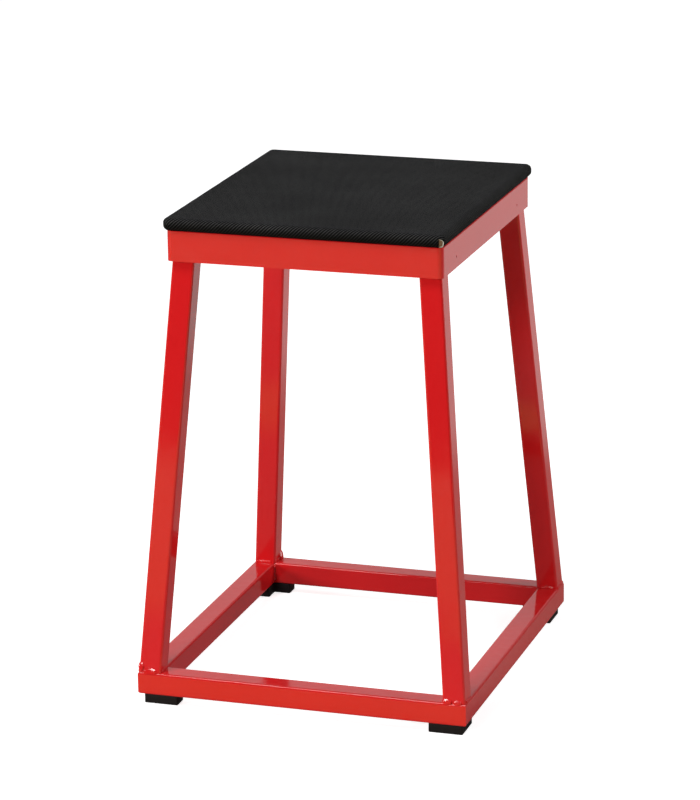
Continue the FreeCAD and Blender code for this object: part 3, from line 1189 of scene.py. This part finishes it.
@dataclass
class ClothTop:
    """Board with a cloth cover wrapped round it and an open fold at the front right corner."""

    cloth: TwillCloth
    cut: CutThreads
    board: RawBoard
    thickness: float = 1.5 * MM
    edge_radius: float = 7.0 * MM
    corner_radius: float = 9.5 * MM
    hem: float = 62.0 * MM
    gap_low: float = 0.5 * MM
    gap_high: float = 11.6 * MM
    gap_shoulder: float = 6.6 * MM
    gap_left: float = math.radians(-70.0)
    gap_right: float = math.radians(-35.0)
    gap_inset: float = 0.98
    lip: float = 0.7 * MM
    crease_depth: float = 0.36 * MM
    crease_width: float = 0.35
    crease_fill: float = 1.2
    lap_edge: float = -0.25
    lap_step: float = 0.035
    lap_end: float = -0.1
    lap_tail: float = 0.7
    fold_top: float = 0.82
    fold_fade: float = 0.3
    slack: float = 0.22 * MM
    slack_waves: tuple[Wave, ...] = ((1.0, 9.0, 1.3), (0.6, 23.0, 0.4))
    top_wave: float = 0.06 * MM
    top_sag: float = 1.8
    top_fade: float = 30.0 * MM
    top_waves: tuple[Wave, ...] = (
        (1.0, 31.0, 17.0, 0.0), (0.7, -23.0, 41.0, 1.0), (0.5, 67.0, 0.0, 2.0))
    counts: tuple[int, int] = (80, 92)
    corner_steps: int = 16
    round_steps: int = 14
    hem_steps: int = 9
    seam: float = 2e-6
    sharp_from: float = 50.0

    def __post_init__(self) -> None:
        """Take the outer size from the cover's solid."""
        low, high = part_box("top_cover")
        self.half = ((high.x - low.x) / 2, (high.y - low.y) / 2)
        self.low, self.high = low.z, high.z

    def stations(self) -> list[Station]:
        """Rings from the flat top, over the rounded edge and in under the board.

        Returns:
            The rings in that order.
        """
        radius, corner = self.edge_radius, self.corner_radius
        quarter = radius * math.pi / 2
        straight = self.high - self.low - 2 * radius
        angles = [math.pi / 2 * number / self.round_steps for number in range(self.round_steps + 1)]
        rings = [Station(corner, self.high, radius - corner), Station(radius, self.high, 0.0)]
        for angle in angles[1:]:
            inset, drop = radius * (1 - math.sin(angle)), radius * (1 - math.cos(angle))
            rings.append(Station(inset, self.high - drop, radius * angle))
        rings.append(Station(0.0, self.low + radius + straight / 2, quarter + straight / 2))
        for angle in angles:
            inset, rise = radius * (1 - math.cos(angle)), radius * (1 - math.sin(angle))
            rings.append(Station(inset, self.low + rise, quarter + straight + radius * angle))
        for number in range(self.hem_steps + 1):
            inset = corner + (self.hem - corner) * number / self.hem_steps
            rings.append(Station(inset, self.low, 2 * quarter + straight + inset - radius))
        return rings

    def gap_angles(self, station: Station) -> Pair:
        """Plan angles of the two edges of the open fold at one ring.

        Args:
            station: The ring.

        Returns:
            The angle of the front flap's edge and of the side flap's edge, the same where the fold
            is closed.
        """
        rise = station.height - self.low
        inside = station.inset > self.edge_radius * self.gap_inset
        if inside or not self.gap_low <= rise <= self.gap_high:
            return self.gap_left, self.gap_left
        share = max(0.0, (rise - self.gap_shoulder) / (self.gap_high - self.gap_shoulder))
        width = math.sqrt(max(0.0, 1.0 - share * share))
        return self.gap_left, self.gap_left + (self.gap_right - self.gap_left) * width

    def ring(self, station: Station) -> tuple[list[Point], list[Flat]]:
        """Points of one ring, anticlockwise from the open fold back to it.

        Args:
            station: The ring.

        Returns:
            The points and their places on the flat cloth.
        """
        front_edge, side_edge = self.gap_angles(station)
        points: list[Point] = []
        flats: list[Flat] = []
        spans = [
            (Corner.FRONT_RIGHT, side_edge, 0.0, Side.RIGHT),
            (Corner.REAR_RIGHT, 0.0, QUARTER_TURN, Side.REAR),
            (Corner.REAR_LEFT, QUARTER_TURN, 2 * QUARTER_TURN, Side.LEFT),
            (Corner.FRONT_LEFT, 2 * QUARTER_TURN, 3 * QUARTER_TURN, Side.FRONT),
            (Corner.FRONT_RIGHT, 3 * QUARTER_TURN, 4 * QUARTER_TURN + front_edge, None),
        ]
        opened = side_edge > front_edge
        for number, (corner, start, end, side) in enumerate(spans):
            for step in range(self.corner_steps + 1):
                share = step / self.corner_steps
                angle = start + (end - start) * share
                proud = self.fold_height(corner, angle, station)
                if opened and number == 0:
                    proud += self.lip * (1.0 - share) ** 2
                x, y = self.on_corner(corner, angle, station.inset, proud)
                points.append((x, y, station.height))
                flats.append(self.on_corner(corner, angle, self.edge_radius, station.run))
            if side:
                side_points, side_flats = self.between(side, station)
                points += side_points
                flats += side_flats
        return points, flats

    def on_corner(self, corner: Corner, angle: float, inset: float, proud: float) -> Flat:
        """Plan place of a point on the rounding of a corner.

        Args:
            corner: The corner.
            angle: Plan angle of the point.
            inset: How far in from the edge its ring is.
            proud: How far outside the plain rounding it is.

        Returns:
            Its X and Y.
        """
        reach = max(self.corner_radius - inset, 0.0) + proud
        back = max(inset, self.corner_radius)
        sx, sy = corner.value
        x, y = sx * (self.half[0] - back), sy * (self.half[1] - back)
        return x + reach * math.cos(angle), y + reach * math.sin(angle)

    def fold_height(self, corner: Corner, angle: float, station: Station) -> float:
        """How far the lapped cloth of a closed corner stands out from the plain rounding.

        Args:
            corner: The corner.
            angle: Plan angle of the point.
            station: The ring.

        Returns:
            The extra radius, which is negative in the crease beside the lap.
        """
        if corner is Corner.FRONT_RIGHT or station.inset >= self.corner_radius:
            return 0.0
        middle = math.atan2(corner.value[1], corner.value[0])
        off = (angle - middle + math.pi) % (2 * math.pi) - math.pi
        past = off - self.lap_edge
        tail = max(0.0, 1.0 - max(0.0, off - self.lap_end) / self.lap_tail)
        lap = tail / (1.0 + math.exp(-past / self.lap_step))
        rise = (station.height - self.low) / (self.high - self.low)
        fade = min(1.0, max(0.0, (self.fold_top - rise) / self.fold_fade))
        crease = min(1.0, math.exp(-(past / self.crease_width) ** 2) * self.crease_fill)
        return -self.crease_depth * (1.0 - lap) * fade * crease

    def between(self, side: Side, station: Station) -> tuple[list[Point], list[Flat]]:
        """Points of one ring between two corners, a little slack.

        Args:
            side: Side that the points lie on.
            station: The ring.

        Returns:
            The points and their places on the flat cloth.
        """
        axis, sign = side.value
        other = 1 - axis
        onward = sign if axis == 0 else -sign
        edge = self.half[axis] - station.inset
        flat_edge = self.half[axis] - self.edge_radius + station.run
        reach = self.half[other] - max(station.inset, self.corner_radius)
        soft = math.sin(math.pi * min(1.0, max(0.0, station.run / (math.pi * self.edge_radius))))
        points, flats = [], []
        for number in range(1, self.counts[other]):
            share = 2.0 * number / self.counts[other] - 1.0
            waves = sum(
                size * math.sin(turns * share + shift) for size, turns, shift in self.slack_waves)
            place, flat = [0.0, 0.0, station.height], [0.0, 0.0]
            place[axis] = sign * (edge - abs(self.slack * soft * waves))
            flat[axis] = sign * flat_edge
            place[other] = flat[other] = onward * share * reach
            points.append(tuple(place))
            flats.append(tuple(flat))
        return points, flats

    def top_grid(self) -> tuple[np.ndarray, np.ndarray]:
        """Points of the flat top and the faces between them, as arrays.

        Returns:
            Places of the points, and the point numbers of each face.
        """
        reach = [half - self.corner_radius for half in self.half]
        lines = [np.linspace(-r, r, count + 1) for r, count in zip(reach, self.counts)]
        gx, gy = np.meshgrid(*lines, indexing="ij")
        inside = np.minimum(reach[0] - abs(gx), reach[1] - abs(gy))
        edge = np.clip(inside / self.top_fade, 0.0, 1.0)
        wave = sum(size * np.sin(a * gx + b * gy + shift) for size, a, b, shift in self.top_waves)
        heights = self.high + self.top_wave * (wave - self.top_sag) * edge
        points = np.stack([gx.ravel(), gy.ravel(), heights.ravel()], 1)
        numbers = np.arange(gx.size).reshape(gx.shape)
        around = [numbers[:-1, :-1], numbers[1:, :-1], numbers[1:, 1:], numbers[:-1, 1:]]
        return points, np.stack(around, -1).reshape(-1, 4)

    def shell(self) -> bpy.types.Mesh:
        """Outer face of the cover as an open shell with its flat cloth coordinates.

        Returns:
            The shell.
        """
        points: list[Point] = []
        flats: list[Flat] = []
        stations = self.stations()
        for station in stations:
            ring_points, ring_flats = self.ring(station)
            points += ring_points
            flats += ring_flats
        width = len(points) // len(stations)
        starts = [row * width + n for row in range(len(stations) - 1) for n in range(width - 1)]
        faces = [(start, start + width, start + width + 1, start + 1) for start in starts]
        grid, quads = (part.tolist() for part in self.top_grid())
        faces += [tuple(len(points) + n for n in quad) for quad in quads]
        points += [tuple(place) for place in grid]
        flats += [tuple(place[:2]) for place in grid]
        mesh = mesh_from("top_cloth", points, faces)
        layer = mesh.uv_layers.new(name=self.cloth.uv_name)
        for loop in mesh.loops:
            layer.data[loop.index].uv = flats[loop.vertex_index]
        with reshaped(mesh, mesh) as shape:
            bmesh.ops.remove_doubles(shape, verts=shape.verts, dist=self.seam)
            bmesh.ops.dissolve_degenerate(shape, edges=shape.edges, dist=self.seam)
        return mesh

    def build(self, effects: SharedEffects) -> None:
        """Make the cover, give it its thickness and dress it and the board.

        Args:
            effects: Node groups that the finishes share.
        """
        mesh = self.shell()
        mesh.materials.append(self.cloth.material(effects))
        mesh.materials.append(self.cut.material(effects))
        obj = show_piece("top_cloth", mesh)
        skin = obj.modifiers.new("cloth_thickness", "SOLIDIFY")
        skin.thickness = self.thickness
        skin.offset = -1.0
        skin.use_even_offset = True
        skin.material_offset_rim = 1
        smooth(settle(obj), self.sharp_from)
        register(obj, Slot.CLOTH, "top_cover")
        paint_node("top_board", self.board.material(effects))


@dataclass(frozen=True)
class ScrewSize:
    """Sizes of one kind of screw and its washer, in millimetres."""

    kind: str
    head: float
    head_height: float
    shank: float
    washer: float
    washer_thickness: float


@dataclass
class Fixings:
    """Screws, washers and staples, repeated at their places."""

    steel: ZincSteel
    sizes: tuple[ScrewSize, ...] = (
        ScrewSize("top", 9.5, 3.2, 4.8, 13.0, 1.2),
        ScrewSize("foot", 8.4, 2.8, 4.2, 10.6, 1.0),
    )
    segments: int = 28
    largest_turn: float = 1.5
    dome: tuple[Pair, ...] = (
        (1.0, 0.0), (1.0, -0.22), (0.965, -0.45), (0.88, -0.68),
        (0.74, -0.86), (0.5, -0.97), (0.0, -1.0))
    tip_share: float = 0.18
    taper_share: float = 0.86
    recess_size: Pair = (0.58, 0.13)
    recess_taper: Pair = (0.55, 0.75)
    recess_floor: float = -0.42
    recess_mouth: float = -1.5
    washer_play: float = 0.7
    washer_ease: float = 0.2
    crown: float = 10.0 * MM
    wire_width: float = 1.2 * MM
    wire_thick: float = 0.7 * MM
    staple_leg: float = 6.0 * MM
    staple_bend: float = 1.4
    bend_steps: int = 5
    staple_turn: float = 0.16
    sharp_from: float = 35.0
    seed: int = 21

    def __post_init__(self) -> None:
        """Make the tree that repeats a fixing."""
        self.recipe = self.repeat_recipe()

    @staticmethod
    def repeat_recipe() -> NodeRecipe:
        """Tree that repeats one fixing at the points of a mesh, each with its own turn.

        Returns:
            The tree.
        """
        kinds = {"Fixing": "Object", "Largest Turn": "Float", "Seed": "Int", "Plating": "Material"}
        recipe = NodeRecipe("repeat_fixing", kinds)
        graph, most = recipe.graph, recipe.value("Largest Turn")
        values = {"Mesh": recipe.value("Geometry")}
        points = graph.add("GeometryNodeMeshToPoints", values).outputs[0]
        values = {"Object": recipe.value("Fixing")}
        fixing = graph.add("GeometryNodeObjectInfo", values).outputs["Geometry"]
        values = {"Seed": recipe.value("Seed")}
        chance = graph.add("FunctionNodeRandomValue", values, data_type="FLOAT")
        limits = {"Min_001": graph.math("MULTIPLY", most, -1.0), "Max_001": most}
        for socket in chance.inputs:
            if socket.identifier in limits:
                graph.put(socket, limits[socket.identifier])
        spin = next(socket for socket in chance.outputs if socket.identifier == "Value_001")
        turn = graph.math("ADD", spin, recipe.attribute("turn"))
        whole = graph.add("ShaderNodeCombineXYZ", {"Z": turn}).outputs[0]
        rotation = graph.add("FunctionNodeEulerToRotation", {0: whole}).outputs[0]
        values = {"Points": points, "Instance": fixing, "Rotation": rotation}
        copies = graph.add("GeometryNodeInstanceOnPoints", values).outputs[0]
        recipe.close(copies, recipe.value("Plating"))
        return recipe

    def screw(self, size: ScrewSize, grip: float) -> bpy.types.Object:
        """A pan-head screw pointing up, with the underside of its head at the origin.

        Args:
            size: Sizes of the screw.
            grip: Length of the shank.

        Returns:
            The pattern, with a cross recess in its head.
        """
        name = size.kind + "_screw"
        head, height, shank = size.head * MM, size.head_height * MM, size.shank * MM
        profile = [(0.0, grip), (shank * self.tip_share, grip)]
        profile += [(shank / 2, grip * self.taper_share), (shank / 2, 0.0)]
        profile += [(head / 2 * share, height * rise) for share, rise in self.dome]
        obj = show_piece(name, lathe(name, profile, self.segments))
        cutters = [self.recess_arm(head, height, turn) for turn in (0.0, QUARTER_TURN)]
        for number, cutter in enumerate(cutters):
            cut = obj.modifiers.new(f"recess_{number}", "BOOLEAN")
            cut.object = cutter
            cut.operation = "DIFFERENCE"
            cut.solver = "EXACT"
        bpy.context.view_layer.update()
        settle(obj)
        for cutter in cutters:
            bpy.data.objects.remove(cutter)
        return smooth(obj, self.sharp_from)

    def recess_arm(self, head: float, height: float, turn: float) -> bpy.types.Object:
        """Tapered bar that cuts one arm of a cross recess.

        Args:
            head: Diameter of the screw's head.
            height: Height of the head.
            turn: Turn about the axis.

        Returns:
            The bar.
        """
        mesh = bpy.data.meshes.new("recess_arm")
        length, width = (head * share for share in self.recess_size)
        with reshaped(mesh) as shape:
            bmesh.ops.create_cube(shape, size=1.0)
            for vert in shape.verts:
                deep = vert.co.z > 0
                shorter, thinner = self.recess_taper if deep else (1.0, 1.0)
                vert.co.x *= length * shorter
                vert.co.y *= width * thinner
                vert.co.z = height * (self.recess_floor if deep else self.recess_mouth)
            shape.transform(Matrix.Rotation(turn, 4, "Z"))
        obj = show_piece("recess_arm", mesh)
        obj.hide_render = True
        return obj

    def washer(self, size: ScrewSize) -> bpy.types.Object:
        """A flat washer with eased edges, whose upper face is at the origin.

        Args:
            size: Sizes of the washer and its screw.

        Returns:
            The pattern.
        """
        name = size.kind + "_washer"
        big, small = size.washer * MM / 2, (size.shank + self.washer_play) * MM / 2
        low = -size.washer_thickness * MM
        ease = -low * self.washer_ease
        profile = [(small, 0.0), (big, 0.0), (big, ease + low), (big - ease, low)]
        profile += [(small + ease, low), (small, ease + low), (small, 0.0)]
        return smooth(show_piece(name, lathe(name, profile, self.segments)), self.sharp_from)

    def staple(self) -> bpy.types.Object:
        """A staple with its crown under the origin and rounded shoulders.

        Returns:
            The pattern.
        """
        half, thick = self.crown / 2, self.wire_thick
        bend = thick * self.staple_bend
        line = [(half, self.staple_leg)]
        for number in range(self.bend_steps + 1):
            angle = math.pi / 2 * number / self.bend_steps
            x, z = half - bend + bend * math.cos(angle), bend - thick - bend * math.sin(angle)
            line.append((x, z))
        line += [(-x, z) for x, z in reversed(line)]
        points = []
        for number, (x, z) in enumerate(line):
            before, after = line[max(number - 1, 0)], line[min(number + 1, len(line) - 1)]
            run = Vector((after[0] - before[0], 0.0, after[1] - before[1])).normalized()
            inner = Vector((run.z, 0.0, -run.x)) * thick
            for side, depth in ((-0.5, 0.0), (0.5, 0.0), (0.5, 1.0), (-0.5, 1.0)):
                points.append(Vector((x, side * self.wire_width, z)) + inner * depth)
        last = len(points) - 4
        edges = [(row + n, row + (n + 1) % 4) for row in range(0, last, 4) for n in range(4)]
        faces = [(a, b, b + 4, a + 4) for a, b in edges]
        faces += [(0, 3, 2, 1), (last, last + 1, last + 2, last + 3)]
        mesh = mesh_from("staple", points, faces)
        with reshaped(mesh, mesh) as shape:
            bmesh.ops.recalc_face_normals(shape, faces=shape.faces)
        return smooth(show_piece("staple", mesh), self.sharp_from)

    @staticmethod
    def islands(node: str) -> list[tuple[Vector, Vector]]:
        """Box of each separate solid in a node.

        Args:
            node: Name of the node.

        Returns:
            Lowest and highest corner of each box.
        """
        shape = bmesh.new()
        shape.from_mesh(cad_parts[node].data)
        bmesh.ops.remove_doubles(shape, verts=shape.verts, dist=SAME_PLACE)
        left = set(shape.verts)
        boxes = []
        while left:
            stack = [left.pop()]
            found = [stack[0]]
            while stack:
                for edge in stack.pop().link_edges:
                    for vert in left.intersection(edge.verts):
                        left.remove(vert)
                        stack.append(vert)
                        found.append(vert)
            places = np.array([vert.co for vert in found])
            boxes.append((Vector(places.min(0)), Vector(places.max(0))))
        shape.free()
        return boxes

    @staticmethod
    def middle(low: Vector, high: Vector, height: float) -> Vector:
        """Point over the middle of a box, at a height."""
        return Vector(((low.x + high.x) / 2, (low.y + high.y) / 2, height))

    def repeat(self, node: str, pattern: bpy.types.Object, places: list[tuple[Vector, float]],
               turn: float, material: bpy.types.Material) -> None:
        """Repeat one pattern in place of a node.

        Args:
            node: Solid that the copies stand for.
            pattern: Object to repeat, which is removed afterwards.
            places: Place and turn of each copy.
            turn: Largest extra turn of a copy.
            material: Finish of the copies.
        """
        mesh = bpy.data.meshes.new(node + "_set")
        mesh.from_pydata([tuple(place) for place, _ in places], [], [])
        carry(mesh, "turn", [angle for _, angle in places])
        obj = show_piece(node + "_set", mesh)
        values = {"Fixing": pattern, "Largest Turn": turn, "Seed": self.seed, "Plating": material}
        self.recipe.apply(obj, values)
        bpy.data.objects.remove(pattern)
        register(obj, Slot.STEEL, node)

    def build(self, effects: SharedEffects) -> None:
        """Make the screws, washers and staples where their solids are.

        Args:
            effects: Node groups that the finishes share.
        """
        material = self.steel.material(effects)
        for size in self.sizes:
            node, height = size.kind + "_screws", size.head_height * MM
            boxes = self.islands(node)
            places = [(self.middle(low, high, low.z + height), 0.0) for low, high in boxes]
            grip = boxes[0][1].z - boxes[0][0].z - height
            self.repeat(node, self.screw(size, grip), places, self.largest_turn, material)
            node = size.kind + "_washers"
            places = [(self.middle(low, high, high.z), 0.0) for low, high in self.islands(node)]
            self.repeat(node, self.washer(size), places, self.largest_turn, material)
        places = []
        for low, high in self.islands("cover_staples"):
            lies_along = high.x - low.x > high.y - low.y
            place = self.middle(low, high, low.z + self.wire_thick)
            places.append((place, 0.0 if lies_along else QUARTER_TURN))
        self.repeat("cover_staples", self.staple(), places, self.staple_turn, material)


@dataclass
class Feet:
    """L shaped rubber pads with eased edges."""

    rubber: MouldedRubber
    ease: float = 0.9 * MM
    ease_steps: int = 3
    flat_within: float = 2.0
    sharp_from: float = 50.0

    def build(self, effects: SharedEffects) -> None:
        """Make each pad from its solid's outline and dress it.

        Args:
            effects: Node groups that the finishes share.
        """
        material = self.rubber.material(effects)
        limit = math.radians(self.flat_within)
        for corner in Corner:
            node = "foot_" + corner.label
            mesh = bpy.data.meshes.new(node + "_pad")
            with reshaped(mesh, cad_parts[node].data) as shape:
                bmesh.ops.remove_doubles(shape, verts=shape.verts, dist=SAME_PLACE)
                bmesh.ops.dissolve_limit(
                    shape, angle_limit=limit, verts=shape.verts, edges=shape.edges)
            mesh.materials.append(material)
            obj = show_piece(node + "_pad", mesh)
            bevel = obj.modifiers.new("eased_edges", "BEVEL")
            bevel.width = self.ease
            bevel.segments = self.ease_steps
            bevel.limit_method = "ANGLE"
            bevel.angle_limit = math.radians(self.sharp_from)
            smooth(settle(obj), self.sharp_from)
            register(obj, Slot.RUBBER, node)


@dataclass(frozen=True)
class Softbox:
    """A soft rectangular light that faces the stand."""

    name: str
    azimuth: float
    elevation: float
    width: float
    height: float
    watts: float
    distance: float = 6.4
    aim: Point = (0.0, 0.0, 0.30)

    def hang(self) -> None:
        """Put the light in the scene."""
        data = bpy.data.lights.new(self.name, "AREA")
        data.shape = "RECTANGLE"
        data.size, data.size_y = self.width, self.height
        data.energy = self.watts
        obj = show_piece(self.name, data)
        back = facing(self.azimuth, self.elevation)
        obj.location = Vector(self.aim) + back * self.distance
        obj.rotation_mode = "QUATERNION"
        obj.rotation_quaternion = (-back).to_track_quat("-Z", "Y")
        LOG.info("%s: %.0f W", self.name, self.watts)


@dataclass
class Viewpoint:
    """Camera of the photograph, with its angles in degrees and its focal length in image points."""

    azimuth: float = 17.896
    elevation: float = 16.291
    roll: float = -0.735
    distance: float = 4.67217
    focal_points: float = 3734.85
    target: Point = (-0.00570, -0.00183, 0.34079)
    sensor: float = 36.0
    farthest: float = 100.0

    def build(self) -> None:
        """Make the camera and set it as the scene's."""
        back, right = facing(self.azimuth, self.elevation), rightward(self.azimuth)
        up = back.cross(right)
        cos, sin = math.cos(math.radians(self.roll)), math.sin(math.radians(self.roll))
        data = bpy.data.cameras.new("photo_view")
        data.sensor_width = self.sensor
        data.lens = self.focal_points * self.sensor / IMAGE_LONG_SIDE
        data.clip_end = self.farthest
        obj = show_piece("photo_view", data)
        axes = Matrix((right * cos + up * sin, up * cos - right * sin, back)).transposed().to_4x4()
        axes.translation = Vector(self.target) + back * self.distance
        obj.matrix_world = axes
        bpy.context.scene.camera = obj
        LOG.info("photo_view: %.1f mm lens", data.lens)


@dataclass(frozen=True)
class RoomGlow:
    """Soft light that comes back from one side of the room."""

    towards: Point = (-0.30, 0.90, 0.31)
    spread: Span = (0.70, 0.95)
    strength: float = 0.62
    all_round: float = 0.03


@dataclass(frozen=True)
class FloorGlow:
    """What the paint mirrors of the floor, as painted light: glow colours that stand in for lit
    floor, painted shade under the stand, and the depths in metres where they change.
    """

    shade: Colour = (0.15, 0.14, 0.14, 1.0)
    shade_half: Pair = (0.212, 0.236)
    shade_edge: Span = (0.80, 1.08)
    front: Colour = (0.45, 0.34, 0.03, 1.0)
    near_start: Span = (-0.20, -0.30)
    near_end: Span = (-0.37, -0.42)
    far_start: Span = (-0.76, -1.02)
    side: Colour = (0.14, 0.075, 0.055, 1.0)
    side_start: Span = (-0.20, -0.05)
    back: Colour = (0.53, 0.53, 0.51, 1.0)
    back_start: Span = (0.86, 1.28)
    dim_middle: float = -0.15
    dim_edge: Span = (0.13, 0.07)
    dim_start: Span = (-0.40, -0.50)
    dim_end: Span = (-1.12, -1.02)
    dimming: float = 0.65
    dim_setback: float = 0.25


@dataclass
class Studio:
    """Plain pale floor, a softly lit room and soft lights."""

    floor_back: float = 14.0
    floor_front: float = 2.6
    floor_side: float = 9.0
    floor_drop: float = 0.3 * MM
    floor_roughness: float = 0.9
    floor_colour: Colour = (0.80, 0.80, 0.80, 1.0)
    # shade_bounce is painted shade: the floor bounces less under the stand
    floor_bounce: Colour = (0.40, 0.40, 0.40, 1.0)
    shade_bounce: Colour = (0.06, 0.06, 0.06, 1.0)
    seen_glow: Colour = (0.80, 0.80, 0.80, 1.0)
    seen_room: float = 1.0
    floor_glow: FloorGlow = FloorGlow()
    room_glow: RoomGlow = RoomGlow()
    lights: tuple[Softbox, ...] = (
        Softbox("key", -42.0, 12.0, 0.6, 1.4, 150.0),
        Softbox("front_fill", -9.0, 22.0, 0.9, 0.9, 60.0),
        Softbox("top_fill", -28.0, 56.0, 2.6, 2.6, 150.0),
        Softbox("right_fill", 108.0, 28.0, 3.0, 3.0, 155.0),
    )

    def build_floor(self) -> None:
        """Make a wide pale floor that can be seen from above only."""
        side, level = self.floor_side, -self.floor_drop
        front, back = -self.floor_front, self.floor_back
        corners = [(-side, front), (side, front), (side, back), (-side, back)]
        mesh = mesh_from("floor", [(x, y, level) for x, y in corners], [(0, 1, 2, 3)])
        mesh.materials.append(self.floor_material())
        obj = show_piece("floor", mesh)
        LOG.info("floor: %d face", len(mesh.polygons))

    def floor_material(self) -> bpy.types.Material:
        """Plain white for the camera, with its own painted glow and painted shade in its bounce for
        the paint.

        Returns:
            The floor's material.
        """
        material = bpy.data.materials.new("pale_floor")
        material.use_nodes = True
        graph = Graph(material.node_tree)
        shader = material.node_tree.nodes["Principled BSDF"]
        seen = graph.add("ShaderNodeLightPath").outputs["Is Camera Ray"]
        bounce, glow = self.mirrored(graph)
        values = {
            "Roughness": self.floor_roughness,
            "Specular IOR Level": 0.0,
            "Base Color": graph.blend(seen, bounce, self.floor_colour),
            "Emission Color": graph.blend(seen, glow, self.seen_glow),
            "Emission Strength": 1.0,
        }
        for label, value in values.items():
            graph.put(shader.inputs[label], value)
        clear = graph.add("ShaderNodeBsdfTransparent").outputs[0]
        under = graph.add("ShaderNodeNewGeometry").outputs["Backfacing"]
        values = {0: under, 1: shader.outputs[0], 2: clear}
        both = graph.add("ShaderNodeMixShader", values).outputs[0]
        graph.put(material.node_tree.nodes["Material Output"].inputs["Surface"], both)
        return material

    def mirrored(self, graph: Graph) -> tuple[Socket, Socket]:
        """Painted glow and painted shade of the floor that the paint meets.

        Args:
            graph: Graph of the floor's material.

        Returns:
            Colour that the floor bounces and colour that it glows with.
        """
        look = self.floor_glow
        place = graph.add("ShaderNodeTexCoord").outputs["Object"]
        split = graph.add("ShaderNodeSeparateXYZ", {0: place}).outputs
        depth = split["Y"]
        sides = [
            graph.math("DIVIDE", graph.math("ABSOLUTE", split[axis]), half)
            for axis, half in zip("XY", look.shade_half)
        ]
        # painted shadow: the floor under the stand and a dimmed patch in front of it bounce and
        # glow less
        clear_of = graph.ease(graph.math("MAXIMUM", *sides), look.shade_edge)
        aside = graph.math("ABSOLUTE", graph.math("SUBTRACT", split["X"], look.dim_middle))
        patch = graph.ease(aside, look.dim_edge)
        reach = graph.product(graph.ease(depth, look.dim_start), graph.ease(depth, look.dim_end))
        dimmed = graph.product(patch, reach, look.dimming)
        lit = graph.math("MULTIPLY", clear_of, graph.math("SUBTRACT", 1.0, dimmed))
        bounce = graph.blend(lit, self.shade_bounce, self.floor_bounce)
        # painted reflections: glowing strips in front, beside and behind the stand stand in for lit
        # floor
        starts, ends = graph.ease(depth, look.near_start), graph.ease(depth, look.near_end)
        near = graph.math("SUBTRACT", starts, ends)
        set_back = graph.math("ADD", depth, graph.math("MULTIPLY", patch, look.dim_setback))
        strips = graph.math("ADD", near, graph.ease(set_back, look.far_start))
        front = graph.blend(strips, BLACK, look.front)
        beside = graph.blend(graph.ease(depth, look.side_start), front, look.side)
        outside = graph.blend(graph.ease(depth, look.back_start), beside, look.back)
        return bounce, graph.blend(clear_of, look.shade, outside)

    def build_room(self) -> None:
        """Light from the back of the room, and a plain pale room for the camera."""
        world = bpy.data.worlds.new("studio_room")
        world.use_nodes = True
        bpy.context.scene.world = world
        graph, look = Graph(world.node_tree), self.room_glow
        direction = graph.add("ShaderNodeTexCoord").outputs["Generated"]
        values = {0: direction, 1: tuple(Vector(look.towards).normalized())}
        near = graph.add("ShaderNodeVectorMath", values, operation="DOT_PRODUCT").outputs["Value"]
        total = graph.ease(near, look.spread, look.all_round, look.strength)
        seen = graph.add("ShaderNodeLightPath").outputs["Is Camera Ray"]
        strength = graph.add("ShaderNodeMix", {0: seen, 2: total, 3: self.seen_room}).outputs[0]
        background = world.node_tree.nodes["Background"]
        background.inputs["Color"].default_value = WHITE
        graph.put(background.inputs["Strength"], strength)

    def build(self) -> None:
        """Make the floor, the room and the lights, and show colours plainly."""
        self.build_floor()
        self.build_room()
        for light in self.lights:
            light.hang()
        settings = bpy.context.scene.view_settings
        settings.view_transform = "Standard"
        settings.look = "None"


def main() -> None:
    """Build the stand and its studio in order."""
    logging.basicConfig(level=logging.INFO, format="%(name)s: %(message)s")
    effects = SharedEffects()
    Viewpoint().build()
    Studio().build()
    SteelFrame(GlossPaint("red_gloss_paint")).dress(effects)
    Welds(GlossPaint("red_paint_on_welds", roughness=(0.07, 0.12))).build(effects)
    cover = (TwillCloth("black_twill"), CutThreads("cut_threads"), RawBoard("raw_board"))
    ClothTop(*cover).build(effects)
    Feet(MouldedRubber("moulded_rubber")).build(effects)
    Fixings(ZincSteel("zinc_steel")).build(effects)


if __name__ == "__main__":
    main()
